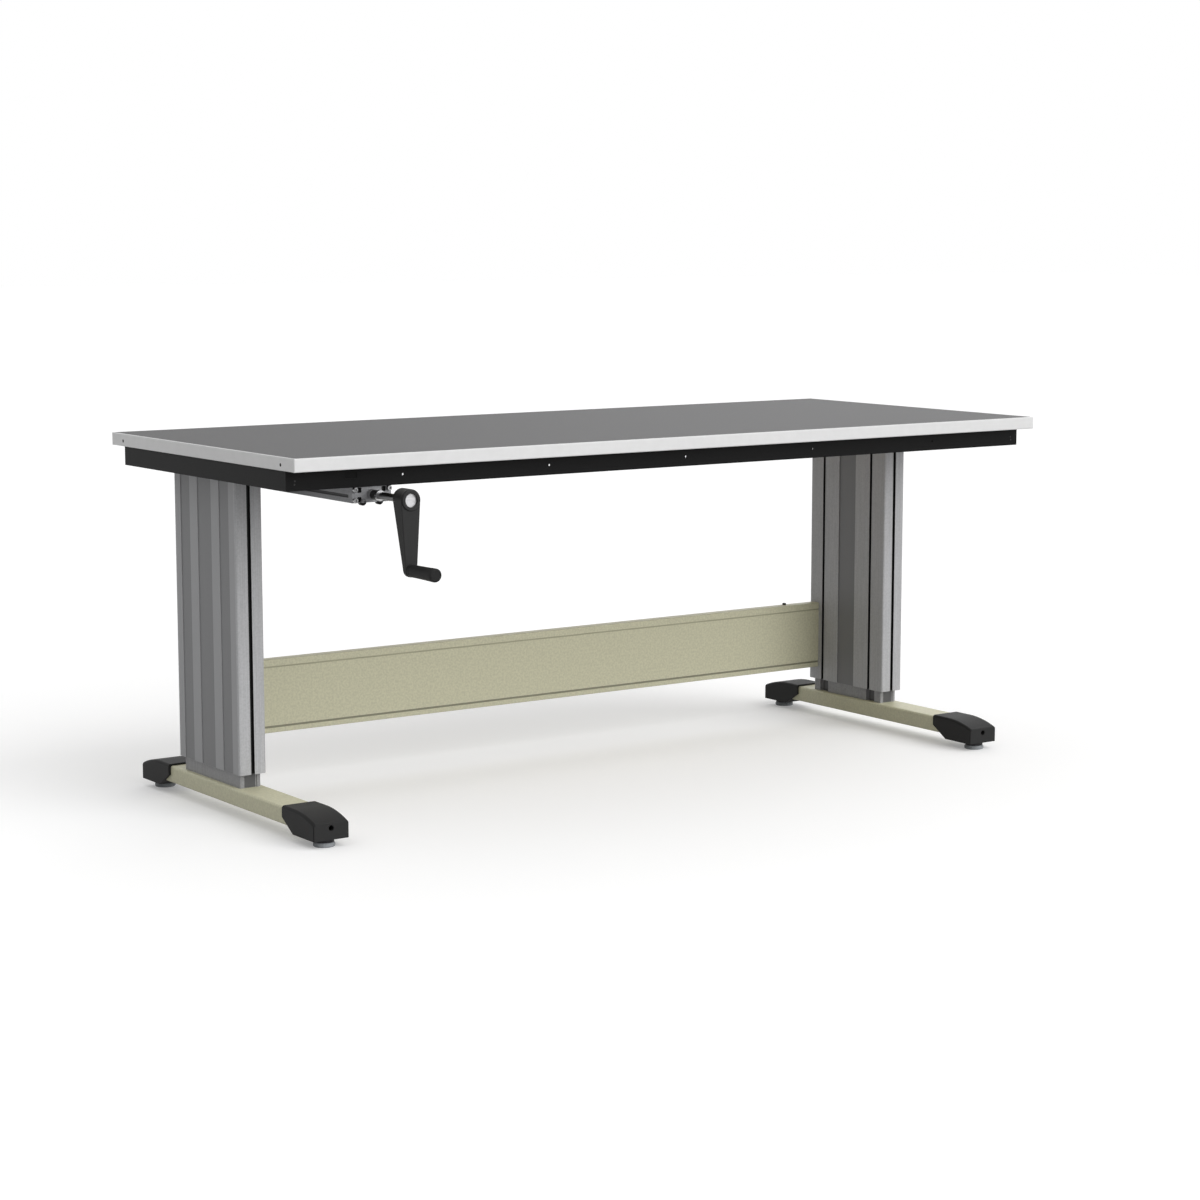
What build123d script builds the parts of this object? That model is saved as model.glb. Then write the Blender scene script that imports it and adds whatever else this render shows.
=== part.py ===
from build123d import *
from math import atan, degrees, sqrt
import os

os.makedirs("parts", exist_ok=True)

# A hand-cranked hydraulic height-adjustable desk, in millimetres. X runs along the worktop,
# the front edge faces -Y and Z is up. The origin lies on the floor under the worktop's middle.

# Worktop
TOP_LENGTH = 1828.8
TOP_DEPTH = 762.0
TOP_HEIGHT = 736.6
TOP_THICK = 25.4
LAMINATE_THICK = 1.0
BAND_THICK = 3.0
BAND_ROUND = 2.0

# Apron frame under the worktop, bent from steel sheet
APRON_HEIGHT = 38.1
APRON_FLANGE = 30.0
APRON_WALL = 2.5
APRON_SETBACK_LONG = 45.0
APRON_SETBACK_SHORT = 6.5
APRON_JOINT_GAP = 1.0
APRON_HOLE_R = 2.25
APRON_HOLE_PITCH = 330.0
APRON_HOLE_COUNT = 5
APRON_RECESS_LENGTH = 26.0
APRON_RECESS_HEIGHT = 12.0
APRON_RECESS_DEPTH = 1.0
APRON_RECESS_CORNER = 1.5
APRON_RECESS_OFFSET = 46.5
APRON_RECESS_RISE = 4.0

# Telescopic columns
LIFT = 304.8
COLUMN_INSET = 90.4
COLUMN_Y = 100.0
COLUMN_WIDTH = 58.0
COLUMN_DEPTH = 260.0
COLUMN_WALL = 4.0
COLUMN_CORNER = 4.0
COLUMN_FOOT_GAP = 28.0
GROOVE_WIDE = 58.0
GROOVE_NARROW = 40.0
GROOVE_DEPTH = 1.2
GROOVE_DEEP = 2.0
SLOT_OPENING = 8.0
SLOT_LIP = 3.0
SLOT_CAVITY_WIDTH = 15.0
SLOT_CAVITY_DEPTH = 6.0
SLOT_WALL = 3.0
SLOT_PITCH = 165.0
SLOT_RELIEF = 2.0
SLOT_RELIEF_SIDE = 4.0
INNER_WALL = 4.0
INNER_CORNER = 2.0
GLIDE_GAP_SIDE = 2.5
GLIDE_GAP_END = 8.0
GLIDE_CLEAR = 0.1
GLIDE_HEIGHT = 60.0
GLIDE_INSET = 8.0
GLIDE_WIDTH = 40.0
GLIDE_PITCH = 90.0
GLIDE_EDGE = 5.0
PORT_WEB = 14.0
PORT_WEB_PITCH = 90.0
PORT_SPREAD = 18.0

# Column heads and the arms that carry the worktop
ARM_WIDTH = 70.0
ARM_HEIGHT = 40.0
ARM_WALL = 4.0
ARM_LIP = 15.0
ARM_END_GAP = 4.0
HEAD_HEIGHT = 30.0
HEAD_FIT = 0.2
STOP_GAP = 0.2
HEAD_BOLT_SPREAD_X = 24.0
HEAD_BOLT_SPREAD_Y = 100.0
HEAD_SCREW_DROP = 6.0
HEAD_SCREW_SINK = 0.4
HEAD_SCREW_DEPTH = 12.0

# Fasteners shared by the steel and aluminium pieces
BOLT_R = 4.0
BOLT_HEAD_R = 6.5
BOLT_HEAD = 8.0
BOLT_DEPTH = 22.0
BOLT_ACCESS = 1.5
SMALL_BOLT_R = 2.5
SMALL_BOLT_HEAD_R = 5.0
SMALL_BOLT_HEAD = 6.0
SMALL_BOLT_DEPTH = 12.0
HOLE_CLEAR = 0.3
THREAD_CLEAR = 0.1
RUN_CLEAR = 0.05

# Feet
FOOT_LENGTH = 723.9
FOOT_SHIFT = 25.0
FOOT_TUBE_WIDTH = 65.0
FOOT_TUBE_HEIGHT = 35.0
FOOT_TUBE_WALL = 3.0
FOOT_TUBE_ROUND = 5.0
CAP_FIT = 0.2
CAP_WALL = 5.3
CAP_FLOOR = 9.3
CAP_ROOF = 3.8
CAP_LENGTH = 122.0
CAP_NOSE = 55.0
CAP_FRONT_WALL = 8.0
CAP_HOLLOW_HEIGHT = 18.0
CAP_FACE_HEIGHT = 33.0
CAP_FALL_LENGTH = 80.0
CAP_SKIRT_LENGTH = 42.0
CAP_SKIRT_RISE = 26.5
CAP_CORNER = 2.5
CAP_EDGE = 6.0
CAP_HOLE_R = 5.5
CAP_HOLE_DROP = 10.5

# Levelling feet
PAD_R = 21.0
PAD_THICK = 9.0
PAD_ROUND = 2.0
COLLAR_R = 19.0
COLLAR_HEIGHT = 7.2
COLLAR_GAP = 0.3
STUD_R = 5.0
STUD_LENGTH = 26.0
STUD_HOLE_CLEAR = 0.5
LEVELER_INSET = 28.0
NUT_FLATS = 17.0
NUT_HEIGHT = 8.0

# Stretcher beam between the columns
STRETCHER_HEIGHT = 152.4
STRETCHER_DEPTH = 25.4
STRETCHER_WALL = 3.0
STRETCHER_RETURN = 15.0
STRETCHER_BOTTOM = 118.0
STRETCHER_SETBACK = 6.2
STRETCHER_ROUND = 2.0
STRETCHER_TOP_LIP = 14.0
STRETCHER_TOP_LINE = 3.0
STRETCHER_BOTTOM_LIP = 10.4
STRETCHER_BOTTOM_LINE = 4.4
STRETCHER_LINE_DEPTH = 1.6
END_PLATE = 5.0
STRETCHER_BOLT_SPREAD = 100.0
PLUG_INSET = 89.0
PLUG_R = 4.5
PLUG_HEIGHT = 4.0

# Crank pump under the front apron
PUMP_INSET = 188.9
PUMP_WIDTH = 84.0
PUMP_HEIGHT = 30.0
PUMP_SETBACK = 5.0
PUMP_ROUND = 1.5
PUMP_STROKE = 160.0
PUMP_CAVITY_WIDTH = 60.0
PUMP_CAVITY_HEIGHT = 25.0
PUMP_BORE_R = 12.5
PUMP_BORE_SPREAD = 40.0
PUMP_SLOT_RISE = 12.5
PUMP_SLOT_WIDTH = 6.0
PUMP_SLOT_DEPTH = 2.5
PUMP_SLOT_STOP = 5.0
PLATE_THICK = 8.0
PLATE_BOSS = 9.0
PLATE_BOSS_R = 10.0
POCKET_SPREAD = 52.0
POCKET_PITCH = 18.0
POCKET_WIDTH = 9.0
POCKET_HEIGHT = 10.0
POCKET_DEPTH = 6.0
POCKET_CORNER = 2.0
PLATE_SCREW_X = 73.0
PLATE_SCREW_Z = 20.0
LUG_R = 7.0
LUG_SPREAD = 36.0
LUG_RISE = 1.5
LUG_SCREW_HEAD_R = 6.0
LUG_SCREW_HEAD = 6.0
REAR_BLOCK = 30.0
PORT_R = 7.0
PORT_LENGTH = 12.0
PORT_BORE_R = 3.0
PUMP_BOLT_SPREAD = 28.0
HANGER_WIDTH = 70.0
HANGER_WALL = 4.0
HANGER_FLANGE = 24.0
BUSH_R = 9.0
BUSH_LENGTH = 15.0
BUSH_SLEEVE_WALL = 2.0
CROSSHEAD_THICK = 12.0
CROSSHEAD_CLEAR = 0.3
CROSSHEAD_START = 10.0
PISTON_LENGTH = 20.0
PISTON_ROD_R = 6.0
PISTON_START = 5.0
PISTON_END_GAP = 3.0

# Crank
SHAFT_R = 7.0
SCREW_R = 6.0
SCREW_END_LENGTH = 12.0
HUB_REACH = 143.5
HUB_R = 20.5
HUB_LENGTH = 34.0
HUB_BOSS = 2.5
HUB_EDGE = 1.5
CRANK_RADIUS = 128.5
ARM_END_R = 12.5
ARM_END_THICK = 11.0
ARM_EDGE = 2.0
HUB_CAP_R = 12.8
HUB_CAP_THICK = 3.0
HUB_CAP_SINK = 5.0
SHAFT_COLLAR_R = 9.8
SHAFT_COLLAR_LENGTH = 6.0
SHAFT_COLLAR_GAP = 3.0
GRIP_LENGTH = 84.5
GRIP_NECK_R = 11.8
GRIP_END_R = 12.8
GRIP_ROUND = 3.0
GRIP_PIN_R = 5.0
GRIP_PIN_SEAT = 9.0
GRIP_GAP = 0.3
GRIP_END_WALL = 6.0

# Lift cylinders in the columns
BARREL_WALL = 4.0
BARREL_CLEAR = 2.0
BARREL_END = 10.0
GLAND_LENGTH = 20.0
PISTON_HEAD = 20.0
PISTON_MARGIN = 5.0
OVERLAP_AT_TOP = 15.0
SPIGOT_R = 10.0
INLET_R = 6.0
INLET_LENGTH = 14.0
INLET_BORE_R = 2.5
ROD_FLANGE_R = 15.0
ROD_FLANGE = 8.0

SIDES = {"left": -1, "right": 1}
ENDS = {"front": -1, "rear": 1}

# Heights, from the floor up
CAP_BOTTOM = PAD_THICK + COLLAR_HEIGHT + COLLAR_GAP
FOOT_BOTTOM = CAP_BOTTOM + CAP_FLOOR + CAP_FIT
FOOT_TOP = FOOT_BOTTOM + FOOT_TUBE_HEIGHT
CAP_TOP = FOOT_TOP + CAP_FIT + CAP_ROOF
COLUMN_BOTTOM = FOOT_TOP + COLUMN_FOOT_GAP
TOP_UNDERSIDE = TOP_HEIGHT - TOP_THICK
APRON_BOTTOM = TOP_UNDERSIDE - APRON_HEIGHT
COLUMN_TOP = TOP_UNDERSIDE - ARM_HEIGHT
HEAD_BOTTOM = COLUMN_TOP - HEAD_HEIGHT
INNER_TOP = HEAD_BOTTOM - STOP_GAP
ARM_FLOOR = COLUMN_TOP + ARM_WALL
STRETCHER_TOP = STRETCHER_BOTTOM + STRETCHER_HEIGHT
PUMP_Z = APRON_BOTTOM - PUMP_HEIGHT / 2

# Places across the frame
APRON_Y = TOP_DEPTH / 2 - APRON_SETBACK_LONG
APRON_X = TOP_LENGTH / 2 - APRON_SETBACK_SHORT
COLUMN_X = TOP_LENGTH / 2 - COLUMN_INSET
PUMP_X = PUMP_INSET - TOP_LENGTH / 2
ARM_END_Y = APRON_Y - APRON_FLANGE - ARM_END_GAP
STRETCHER_REAR = COLUMN_Y + COLUMN_DEPTH / 2 - STRETCHER_SETBACK
STRETCHER_FRONT = STRETCHER_REAR - STRETCHER_DEPTH
STRETCHER_END = COLUMN_X - COLUMN_WIDTH / 2
PLUG_X = STRETCHER_END - PLUG_INSET
PLATE_FRONT = -APRON_Y + PUMP_SETBACK
PUMP_FRONT = PLATE_FRONT + PLATE_THICK
PUMP_BORE_START = PUMP_FRONT + CROSSHEAD_START + CROSSHEAD_THICK + PUMP_STROKE + CROSSHEAD_START
PUMP_REAR = PUMP_BORE_START + PISTON_START + PISTON_LENGTH + PUMP_STROKE + PISTON_END_GAP
PUMP_LENGTH = PUMP_REAR - PUMP_FRONT
HUB_FRONT = PLATE_FRONT - HUB_REACH
HUB_REAR = HUB_FRONT + HUB_LENGTH
ARM_FRONT = HUB_FRONT + HUB_BOSS
BOSS_FRONT = PLATE_FRONT - PLATE_BOSS

# Sizes that follow from the fits
SLOT_BLOCK_WIDTH = SLOT_CAVITY_WIDTH + 2 * SLOT_WALL
SLOT_BLOCK_DEPTH = SLOT_LIP + SLOT_CAVITY_DEPTH + SLOT_WALL
INNER_WIDTH = COLUMN_WIDTH - 2 * COLUMN_WALL - 2 * GLIDE_GAP_SIDE
INNER_DEPTH = COLUMN_DEPTH - 2 * COLUMN_WALL - 2 * GLIDE_GAP_END
RELIEF_WIDTH = SLOT_BLOCK_WIDTH + 2 * SLOT_RELIEF_SIDE
RELIEF_DEPTH = SLOT_BLOCK_DEPTH + SLOT_RELIEF
CAP_WIDTH = FOOT_TUBE_WIDTH + 2 * (CAP_FIT + CAP_WALL)
FOOT_TUBE_LENGTH = FOOT_LENGTH - 2 * CAP_NOSE
ROD_R = PUMP_BORE_R * sqrt(PUMP_STROKE / LIFT)
BARREL_BORE_R = ROD_R + BARREL_CLEAR
BARREL_R = BARREL_BORE_R + BARREL_WALL
BARREL_BORE_TOP = HEAD_BOTTOM - BARREL_END
PISTON_TOP = BARREL_BORE_TOP - PISTON_MARGIN
BARREL_BOTTOM = PISTON_TOP - PISTON_HEAD - OVERLAP_AT_TOP - LIFT - GLAND_LENGTH


def save(builder, name):
    """Label a finished piece and write it."""
    builder.part.label = name
    export_step(builder.part, f"parts/{name}.step")


def column_plane(side, height):
    """The level plane of one column, centred on its profile."""
    return Plane(origin=(side * COLUMN_X, COLUMN_Y, height))


def slot_places(side, sink=0.0):
    """Where the column's T-slots open, with local +Y pointing into the profile."""
    end = COLUMN_DEPTH / 2 - sink
    face = -side * (COLUMN_WIDTH / 2 - sink)
    reach = SLOT_PITCH / 2
    turn = -90 * side
    return [
        Location((0, -end, 0), (0, 0, 0)),
        Location((0, end, 0), (0, 0, 180)),
        Location((face, -reach, 0), (0, 0, turn)),
        Location((face, reach, 0), (0, 0, turn)),
    ]


def inward_rectangles(places, width, depth, mode):
    """Rectangles that grow inwards from the column's faces, in the open sketch."""
    with Locations(*places):
        Rectangle(width, depth, align=(Align.CENTER, Align.MIN), mode=mode)


def drop_bolts(places, seat, head_r, head, shank_r, shank):
    """Cap screws standing on a level seat and pointing down, in the open part."""
    with BuildSketch(Plane.XY.offset(seat)) as heads:
        with Locations(*places):
            Circle(head_r)
    extrude(heads.sketch, amount=head)
    with BuildSketch(Plane.XY.offset(seat)) as shanks:
        with Locations(*places):
            Circle(shank_r)
    extrude(shanks.sketch, amount=-shank)


def drill(plane, places, radius, depth):
    """Round holes from a plane along its normal, in the open part."""
    with BuildSketch(plane) as holes:
        with Locations(*places):
            Circle(radius)
    extrude(holes.sketch, amount=depth, mode=Mode.SUBTRACT)


def pump_section(y):
    """The upright plane of the pump's cross-section at y, with local X and Y along X and Z."""
    return Plane(origin=(PUMP_X, y, PUMP_Z), x_dir=(1, 0, 0), z_dir=(0, -1, 0))


def head_bolt_places(side):
    """Centres of the bolts that join an arm to a column head."""
    step_x = HEAD_BOLT_SPREAD_X / 2
    step_y = HEAD_BOLT_SPREAD_Y / 2
    centre_x = side * COLUMN_X
    return [(centre_x + i * step_x, COLUMN_Y + j * step_y) for i in (-1, 1) for j in (-1, 1)]


def port_places(side):
    """Centres of the screw ports in an inner column."""
    step_x = PORT_SPREAD / 2
    step_y = PORT_WEB_PITCH / 2
    centre_x = side * COLUMN_X
    return [(centre_x + i * step_x, COLUMN_Y + j * step_y) for i in (-1, 1) for j in (-1, 1)]


def head_screw_places():
    """Centres of a column head's set screws, along the column's depth and up."""
    return [(COLUMN_Y + j * HEAD_BOLT_SPREAD_Y / 2, COLUMN_TOP - HEAD_SCREW_DROP) for j in (-1, 1)]


def stretcher_bolt_places():
    """Centres of the bolts at each end of the stretcher, along its depth and up."""
    middle_y = (STRETCHER_FRONT + STRETCHER_WALL + STRETCHER_REAR) / 2
    middle_z = (STRETCHER_BOTTOM + STRETCHER_TOP) / 2
    return [(middle_y, middle_z + j * STRETCHER_BOLT_SPREAD / 2) for j in (-1, 1)]


def pump_bolt_places(y):
    """Centres of the pair of bolts that hold the pump up at y."""
    return [(PUMP_X + j * PUMP_BOLT_SPREAD / 2, y) for j in (-1, 1)]


PUMP_BOLT_FRONT_Y = PLATE_FRONT + PLATE_THICK / 2
HANGER_Y = PUMP_REAR + REAR_BLOCK - HANGER_WALL / 2
PUMP_BOLT_REAR_Y = HANGER_Y - (HANGER_FLANGE + HANGER_WALL / 2) / 2

# Worktop: board, laminate and the four edge bands
CORE_LENGTH = TOP_LENGTH - 2 * BAND_THICK
CORE_DEPTH = TOP_DEPTH - 2 * BAND_THICK

with BuildPart() as core:
    with BuildSketch(Plane.XY.offset(TOP_UNDERSIDE)):
        Rectangle(CORE_LENGTH, CORE_DEPTH)
    extrude(amount=TOP_THICK - LAMINATE_THICK)
save(core, "worktop_core")

with BuildPart() as laminate:
    with BuildSketch(Plane.XY.offset(TOP_HEIGHT - LAMINATE_THICK)):
        Rectangle(CORE_LENGTH, CORE_DEPTH)
    extrude(amount=LAMINATE_THICK)
save(laminate, "worktop_laminate")

for end, sign in ENDS.items():
    with BuildPart() as band:
        with BuildSketch(Plane.XY.offset(TOP_UNDERSIDE)):
            with Locations((0, sign * (TOP_DEPTH - BAND_THICK) / 2)):
                Rectangle(TOP_LENGTH, BAND_THICK)
        extrude(amount=TOP_THICK)
        outer_face = band.faces().sort_by(Axis.Y)[0 if sign < 0 else -1]
        fillet(outer_face.edges(), BAND_ROUND)
    save(band, f"edge_band_{end}")

for side, sign in SIDES.items():
    with BuildPart() as band:
        with BuildSketch(Plane.XY.offset(TOP_UNDERSIDE)):
            with Locations((sign * (TOP_LENGTH - BAND_THICK) / 2, 0)):
                Rectangle(BAND_THICK, CORE_DEPTH)
        extrude(amount=TOP_THICK)
        outer_face = band.faces().sort_by(Axis.X)[0 if sign < 0 else -1]
        fillet(outer_face.edges().filter_by(Axis.Y), BAND_ROUND)
    save(band, f"edge_band_{side}")

# Apron frame: long channels between the webs of the short ones
LONG_APRON_LENGTH = 2 * (APRON_X - APRON_WALL)
APRON_MIDDLE = APRON_BOTTOM + APRON_HEIGHT / 2

for end, sign in ENDS.items():
    with BuildPart() as apron:
        with BuildSketch(Plane.YZ):
            with Locations((sign * (APRON_Y - APRON_FLANGE / 2), APRON_MIDDLE)):
                Rectangle(APRON_FLANGE, APRON_HEIGHT)
            with Locations((sign * (APRON_Y - (APRON_FLANGE + APRON_WALL) / 2), APRON_MIDDLE)):
                Rectangle(APRON_FLANGE - APRON_WALL, APRON_HEIGHT - 2 * APRON_WALL, mode=Mode.SUBTRACT)
        extrude(amount=LONG_APRON_LENGTH / 2, both=True)
        with BuildSketch(Plane.XZ.offset(-sign * (APRON_Y - APRON_WALL / 2))):
            with Locations((0, APRON_MIDDLE)):
                with GridLocations(APRON_HOLE_PITCH, 0, APRON_HOLE_COUNT, 1):
                    Circle(APRON_HOLE_R)
        extrude(amount=APRON_WALL, both=True, mode=Mode.SUBTRACT)
        if end == "front":
            with BuildSketch(Plane.XZ.offset(APRON_Y)):
                with Locations((PUMP_X - APRON_RECESS_OFFSET, APRON_MIDDLE + APRON_RECESS_RISE)):
                    RectangleRounded(APRON_RECESS_LENGTH, APRON_RECESS_HEIGHT, APRON_RECESS_CORNER)
            extrude(amount=-APRON_RECESS_DEPTH, mode=Mode.SUBTRACT)
            bolt_hole = SMALL_BOLT_R + HOLE_CLEAR
            drill(Plane.XY.offset(APRON_BOTTOM), pump_bolt_places(PUMP_BOLT_FRONT_Y), bolt_hole, APRON_WALL)
    save(apron, f"apron_{end}")

SHORT_FLANGE_LENGTH = 2 * (APRON_Y - APRON_FLANGE - APRON_JOINT_GAP)
for side, sign in SIDES.items():
    with BuildPart() as apron:
        with BuildSketch(Plane.XY.offset(APRON_BOTTOM)):
            with Locations((sign * (APRON_X - APRON_WALL / 2), 0)):
                Rectangle(APRON_WALL, 2 * APRON_Y)
        extrude(amount=APRON_HEIGHT)
        with BuildSketch(Plane.XZ):
            for level in (APRON_BOTTOM + APRON_WALL / 2, TOP_UNDERSIDE - APRON_WALL / 2):
                with Locations((sign * (APRON_X - APRON_FLANGE / 2), level)):
                    Rectangle(APRON_FLANGE, APRON_WALL)
        extrude(amount=SHORT_FLANGE_LENGTH / 2, both=True)
    save(apron, f"apron_{side}")

# Feet: a steel tube with a cap sleeved over each end
NUT_HOLE_R = STUD_R + RUN_CLEAR
STUD_HOLE_R = STUD_R + STUD_HOLE_CLEAR
LEVELER_REACH = FOOT_LENGTH / 2 - LEVELER_INSET
FOOT_END = FOOT_LENGTH / 2

for side, sign in SIDES.items():
    with BuildPart() as foot:
        foot_plane = Plane(
            origin=(sign * COLUMN_X, FOOT_SHIFT, FOOT_BOTTOM + FOOT_TUBE_HEIGHT / 2),
            x_dir=(1, 0, 0),
            z_dir=(0, -1, 0),
        )
        with BuildSketch(foot_plane):
            RectangleRounded(FOOT_TUBE_WIDTH, FOOT_TUBE_HEIGHT, FOOT_TUBE_ROUND)
            RectangleRounded(
                FOOT_TUBE_WIDTH - 2 * FOOT_TUBE_WALL,
                FOOT_TUBE_HEIGHT - 2 * FOOT_TUBE_WALL,
                FOOT_TUBE_ROUND - FOOT_TUBE_WALL,
                mode=Mode.SUBTRACT,
            )
        extrude(amount=FOOT_TUBE_LENGTH / 2, both=True)
        access_r = BOLT_HEAD_R + BOLT_ACCESS
        drill(Plane.XY.offset(FOOT_BOTTOM), port_places(sign), access_r, FOOT_TUBE_WALL)
        roof_plane = Plane.XY.offset(FOOT_TOP - FOOT_TUBE_WALL)
        drill(roof_plane, port_places(sign), BOLT_R + HOLE_CLEAR, FOOT_TUBE_WALL)
    save(foot, f"foot_tube_{side}")


def cap_profile():
    """Side view of a foot cap: local X runs inwards from the nose, local Y is the height."""
    skirt_start = CAP_LENGTH - CAP_SKIRT_LENGTH
    nose_top = CAP_BOTTOM + CAP_FACE_HEIGHT
    fall = CAP_TOP - nose_top
    fall_radius = (CAP_FALL_LENGTH**2 + fall**2) / (2 * fall)
    with BuildLine() as outline:
        under = Polyline(
            (0, nose_top),
            (0, CAP_BOTTOM),
            (skirt_start, CAP_BOTTOM),
            (CAP_LENGTH, CAP_BOTTOM + CAP_SKIRT_RISE),
            (CAP_LENGTH, CAP_TOP),
            (CAP_FALL_LENGTH, CAP_TOP),
        )
        RadiusArc(under @ 1, under @ 0, -fall_radius)
    make_face(outline.edges())


for side, sign in SIDES.items():
    for end, way in ENDS.items():
        with BuildPart() as cap:
            nose = Plane(
                origin=(sign * COLUMN_X, FOOT_SHIFT + way * FOOT_END, 0),
                x_dir=(0, -way, 0),
                z_dir=(-way, 0, 0),
            )
            with BuildSketch(nose):
                cap_profile()
            extrude(amount=CAP_WIDTH / 2, both=True)
            roof = cap.faces().filter_by(GeomType.CYLINDER).sort_by(SortBy.AREA)[-1]
            flat_roof = cap.faces().filter_by(Axis.Z).sort_by(Axis.Z)[-1]
            fillet(roof.edges().filter_by(GeomType.CIRCLE) + flat_roof.edges().filter_by(Axis.Y), CAP_EDGE)
            nose_face = cap.faces().sort_by(Axis.Y)[0 if way < 0 else -1]
            fillet(nose_face.edges().filter_by(Axis.Z), CAP_CORNER)
            tube_stop = FOOT_SHIFT + way * (FOOT_END - CAP_NOSE)
            pocket_plane = Plane(
                origin=(sign * COLUMN_X, tube_stop, FOOT_BOTTOM + FOOT_TUBE_HEIGHT / 2),
                x_dir=(1, 0, 0),
                z_dir=(0, -way, 0),
            )
            with BuildSketch(pocket_plane):
                RectangleRounded(
                    FOOT_TUBE_WIDTH + 2 * CAP_FIT,
                    FOOT_TUBE_HEIGHT + 2 * CAP_FIT,
                    FOOT_TUBE_ROUND + CAP_FIT,
                )
            extrude(amount=CAP_LENGTH, mode=Mode.SUBTRACT)
            with BuildSketch(Plane.XY.offset(FOOT_BOTTOM)):
                hollow_y = FOOT_SHIFT + way * (FOOT_END - (CAP_FRONT_WALL + CAP_NOSE) / 2)
                with Locations((sign * COLUMN_X, hollow_y)):
                    Rectangle(FOOT_TUBE_WIDTH - 2 * FOOT_TUBE_WALL, CAP_NOSE - CAP_FRONT_WALL)
            extrude(amount=CAP_HOLLOW_HEIGHT, mode=Mode.SUBTRACT)
            hole_z = CAP_BOTTOM + CAP_FACE_HEIGHT - CAP_HOLE_DROP
            hole_plane = Plane(
                origin=(sign * COLUMN_X, FOOT_SHIFT + way * FOOT_END, hole_z),
                x_dir=(1, 0, 0),
                z_dir=(0, -way, 0),
            )
            drill(hole_plane, [(0, 0)], CAP_HOLE_R, CAP_FRONT_WALL)
            stud_place = [(sign * COLUMN_X, FOOT_SHIFT + way * LEVELER_REACH)]
            drill(Plane.XY.offset(CAP_BOTTOM), stud_place, STUD_HOLE_R, CAP_FLOOR + CAP_FIT)
        save(cap, f"foot_cap_{end}_{side}")

# Levelling feet: a pad, a stud with its collar, and the nut set in the cap
LEVELER_PLACES = [
    (sign * COLUMN_X, FOOT_SHIFT + way * LEVELER_REACH) for sign in SIDES.values() for way in ENDS.values()
]

for side, sign in SIDES.items():
    for end, way in ENDS.items():
        centre = (sign * COLUMN_X, FOOT_SHIFT + way * LEVELER_REACH)
        with BuildPart() as pad:
            with BuildSketch():
                with Locations(centre):
                    Circle(PAD_R)
            extrude(amount=PAD_THICK)
            fillet(pad.edges().group_by(Axis.Z)[-1], PAD_ROUND)
        save(pad, f"leveler_pad_{end}_{side}")
        with BuildPart() as stud:
            with BuildSketch(Plane.XY.offset(PAD_THICK)):
                with Locations(centre):
                    Circle(COLLAR_R)
            extrude(amount=COLLAR_HEIGHT)
            with BuildSketch(Plane.XY.offset(PAD_THICK + COLLAR_HEIGHT)):
                with Locations(centre):
                    Circle(STUD_R)
            extrude(amount=STUD_LENGTH)
        save(stud, f"leveler_stud_{end}_{side}")

with BuildPart() as nuts:
    with BuildSketch(Plane.XY.offset(FOOT_BOTTOM)):
        with Locations(*LEVELER_PLACES):
            RegularPolygon(NUT_FLATS / 2, 6, major_radius=False)
            Circle(NUT_HOLE_R, mode=Mode.SUBTRACT)
    extrude(amount=NUT_HEIGHT)
save(nuts, "leveler_nuts")

# Columns: the outer profile rides with the worktop, the inner one stands on the foot
END_CHAMBER_START = (PORT_WEB_PITCH + PORT_WEB) / 2
END_CHAMBER_STOP = COLUMN_DEPTH / 2 - RELIEF_DEPTH - INNER_WALL
CENTRE_CHAMBER = PORT_WEB_PITCH - PORT_WEB
CHAMBER_OUTER = INNER_WIDTH / 2 - INNER_WALL
CHAMBER_INNER = COLUMN_WIDTH / 2 - RELIEF_DEPTH - INNER_WALL
COLUMN_PORT_R = BOLT_R + THREAD_CLEAR
HEAD_SCREW_HOLE_R = SMALL_BOLT_R + THREAD_CLEAR

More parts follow.
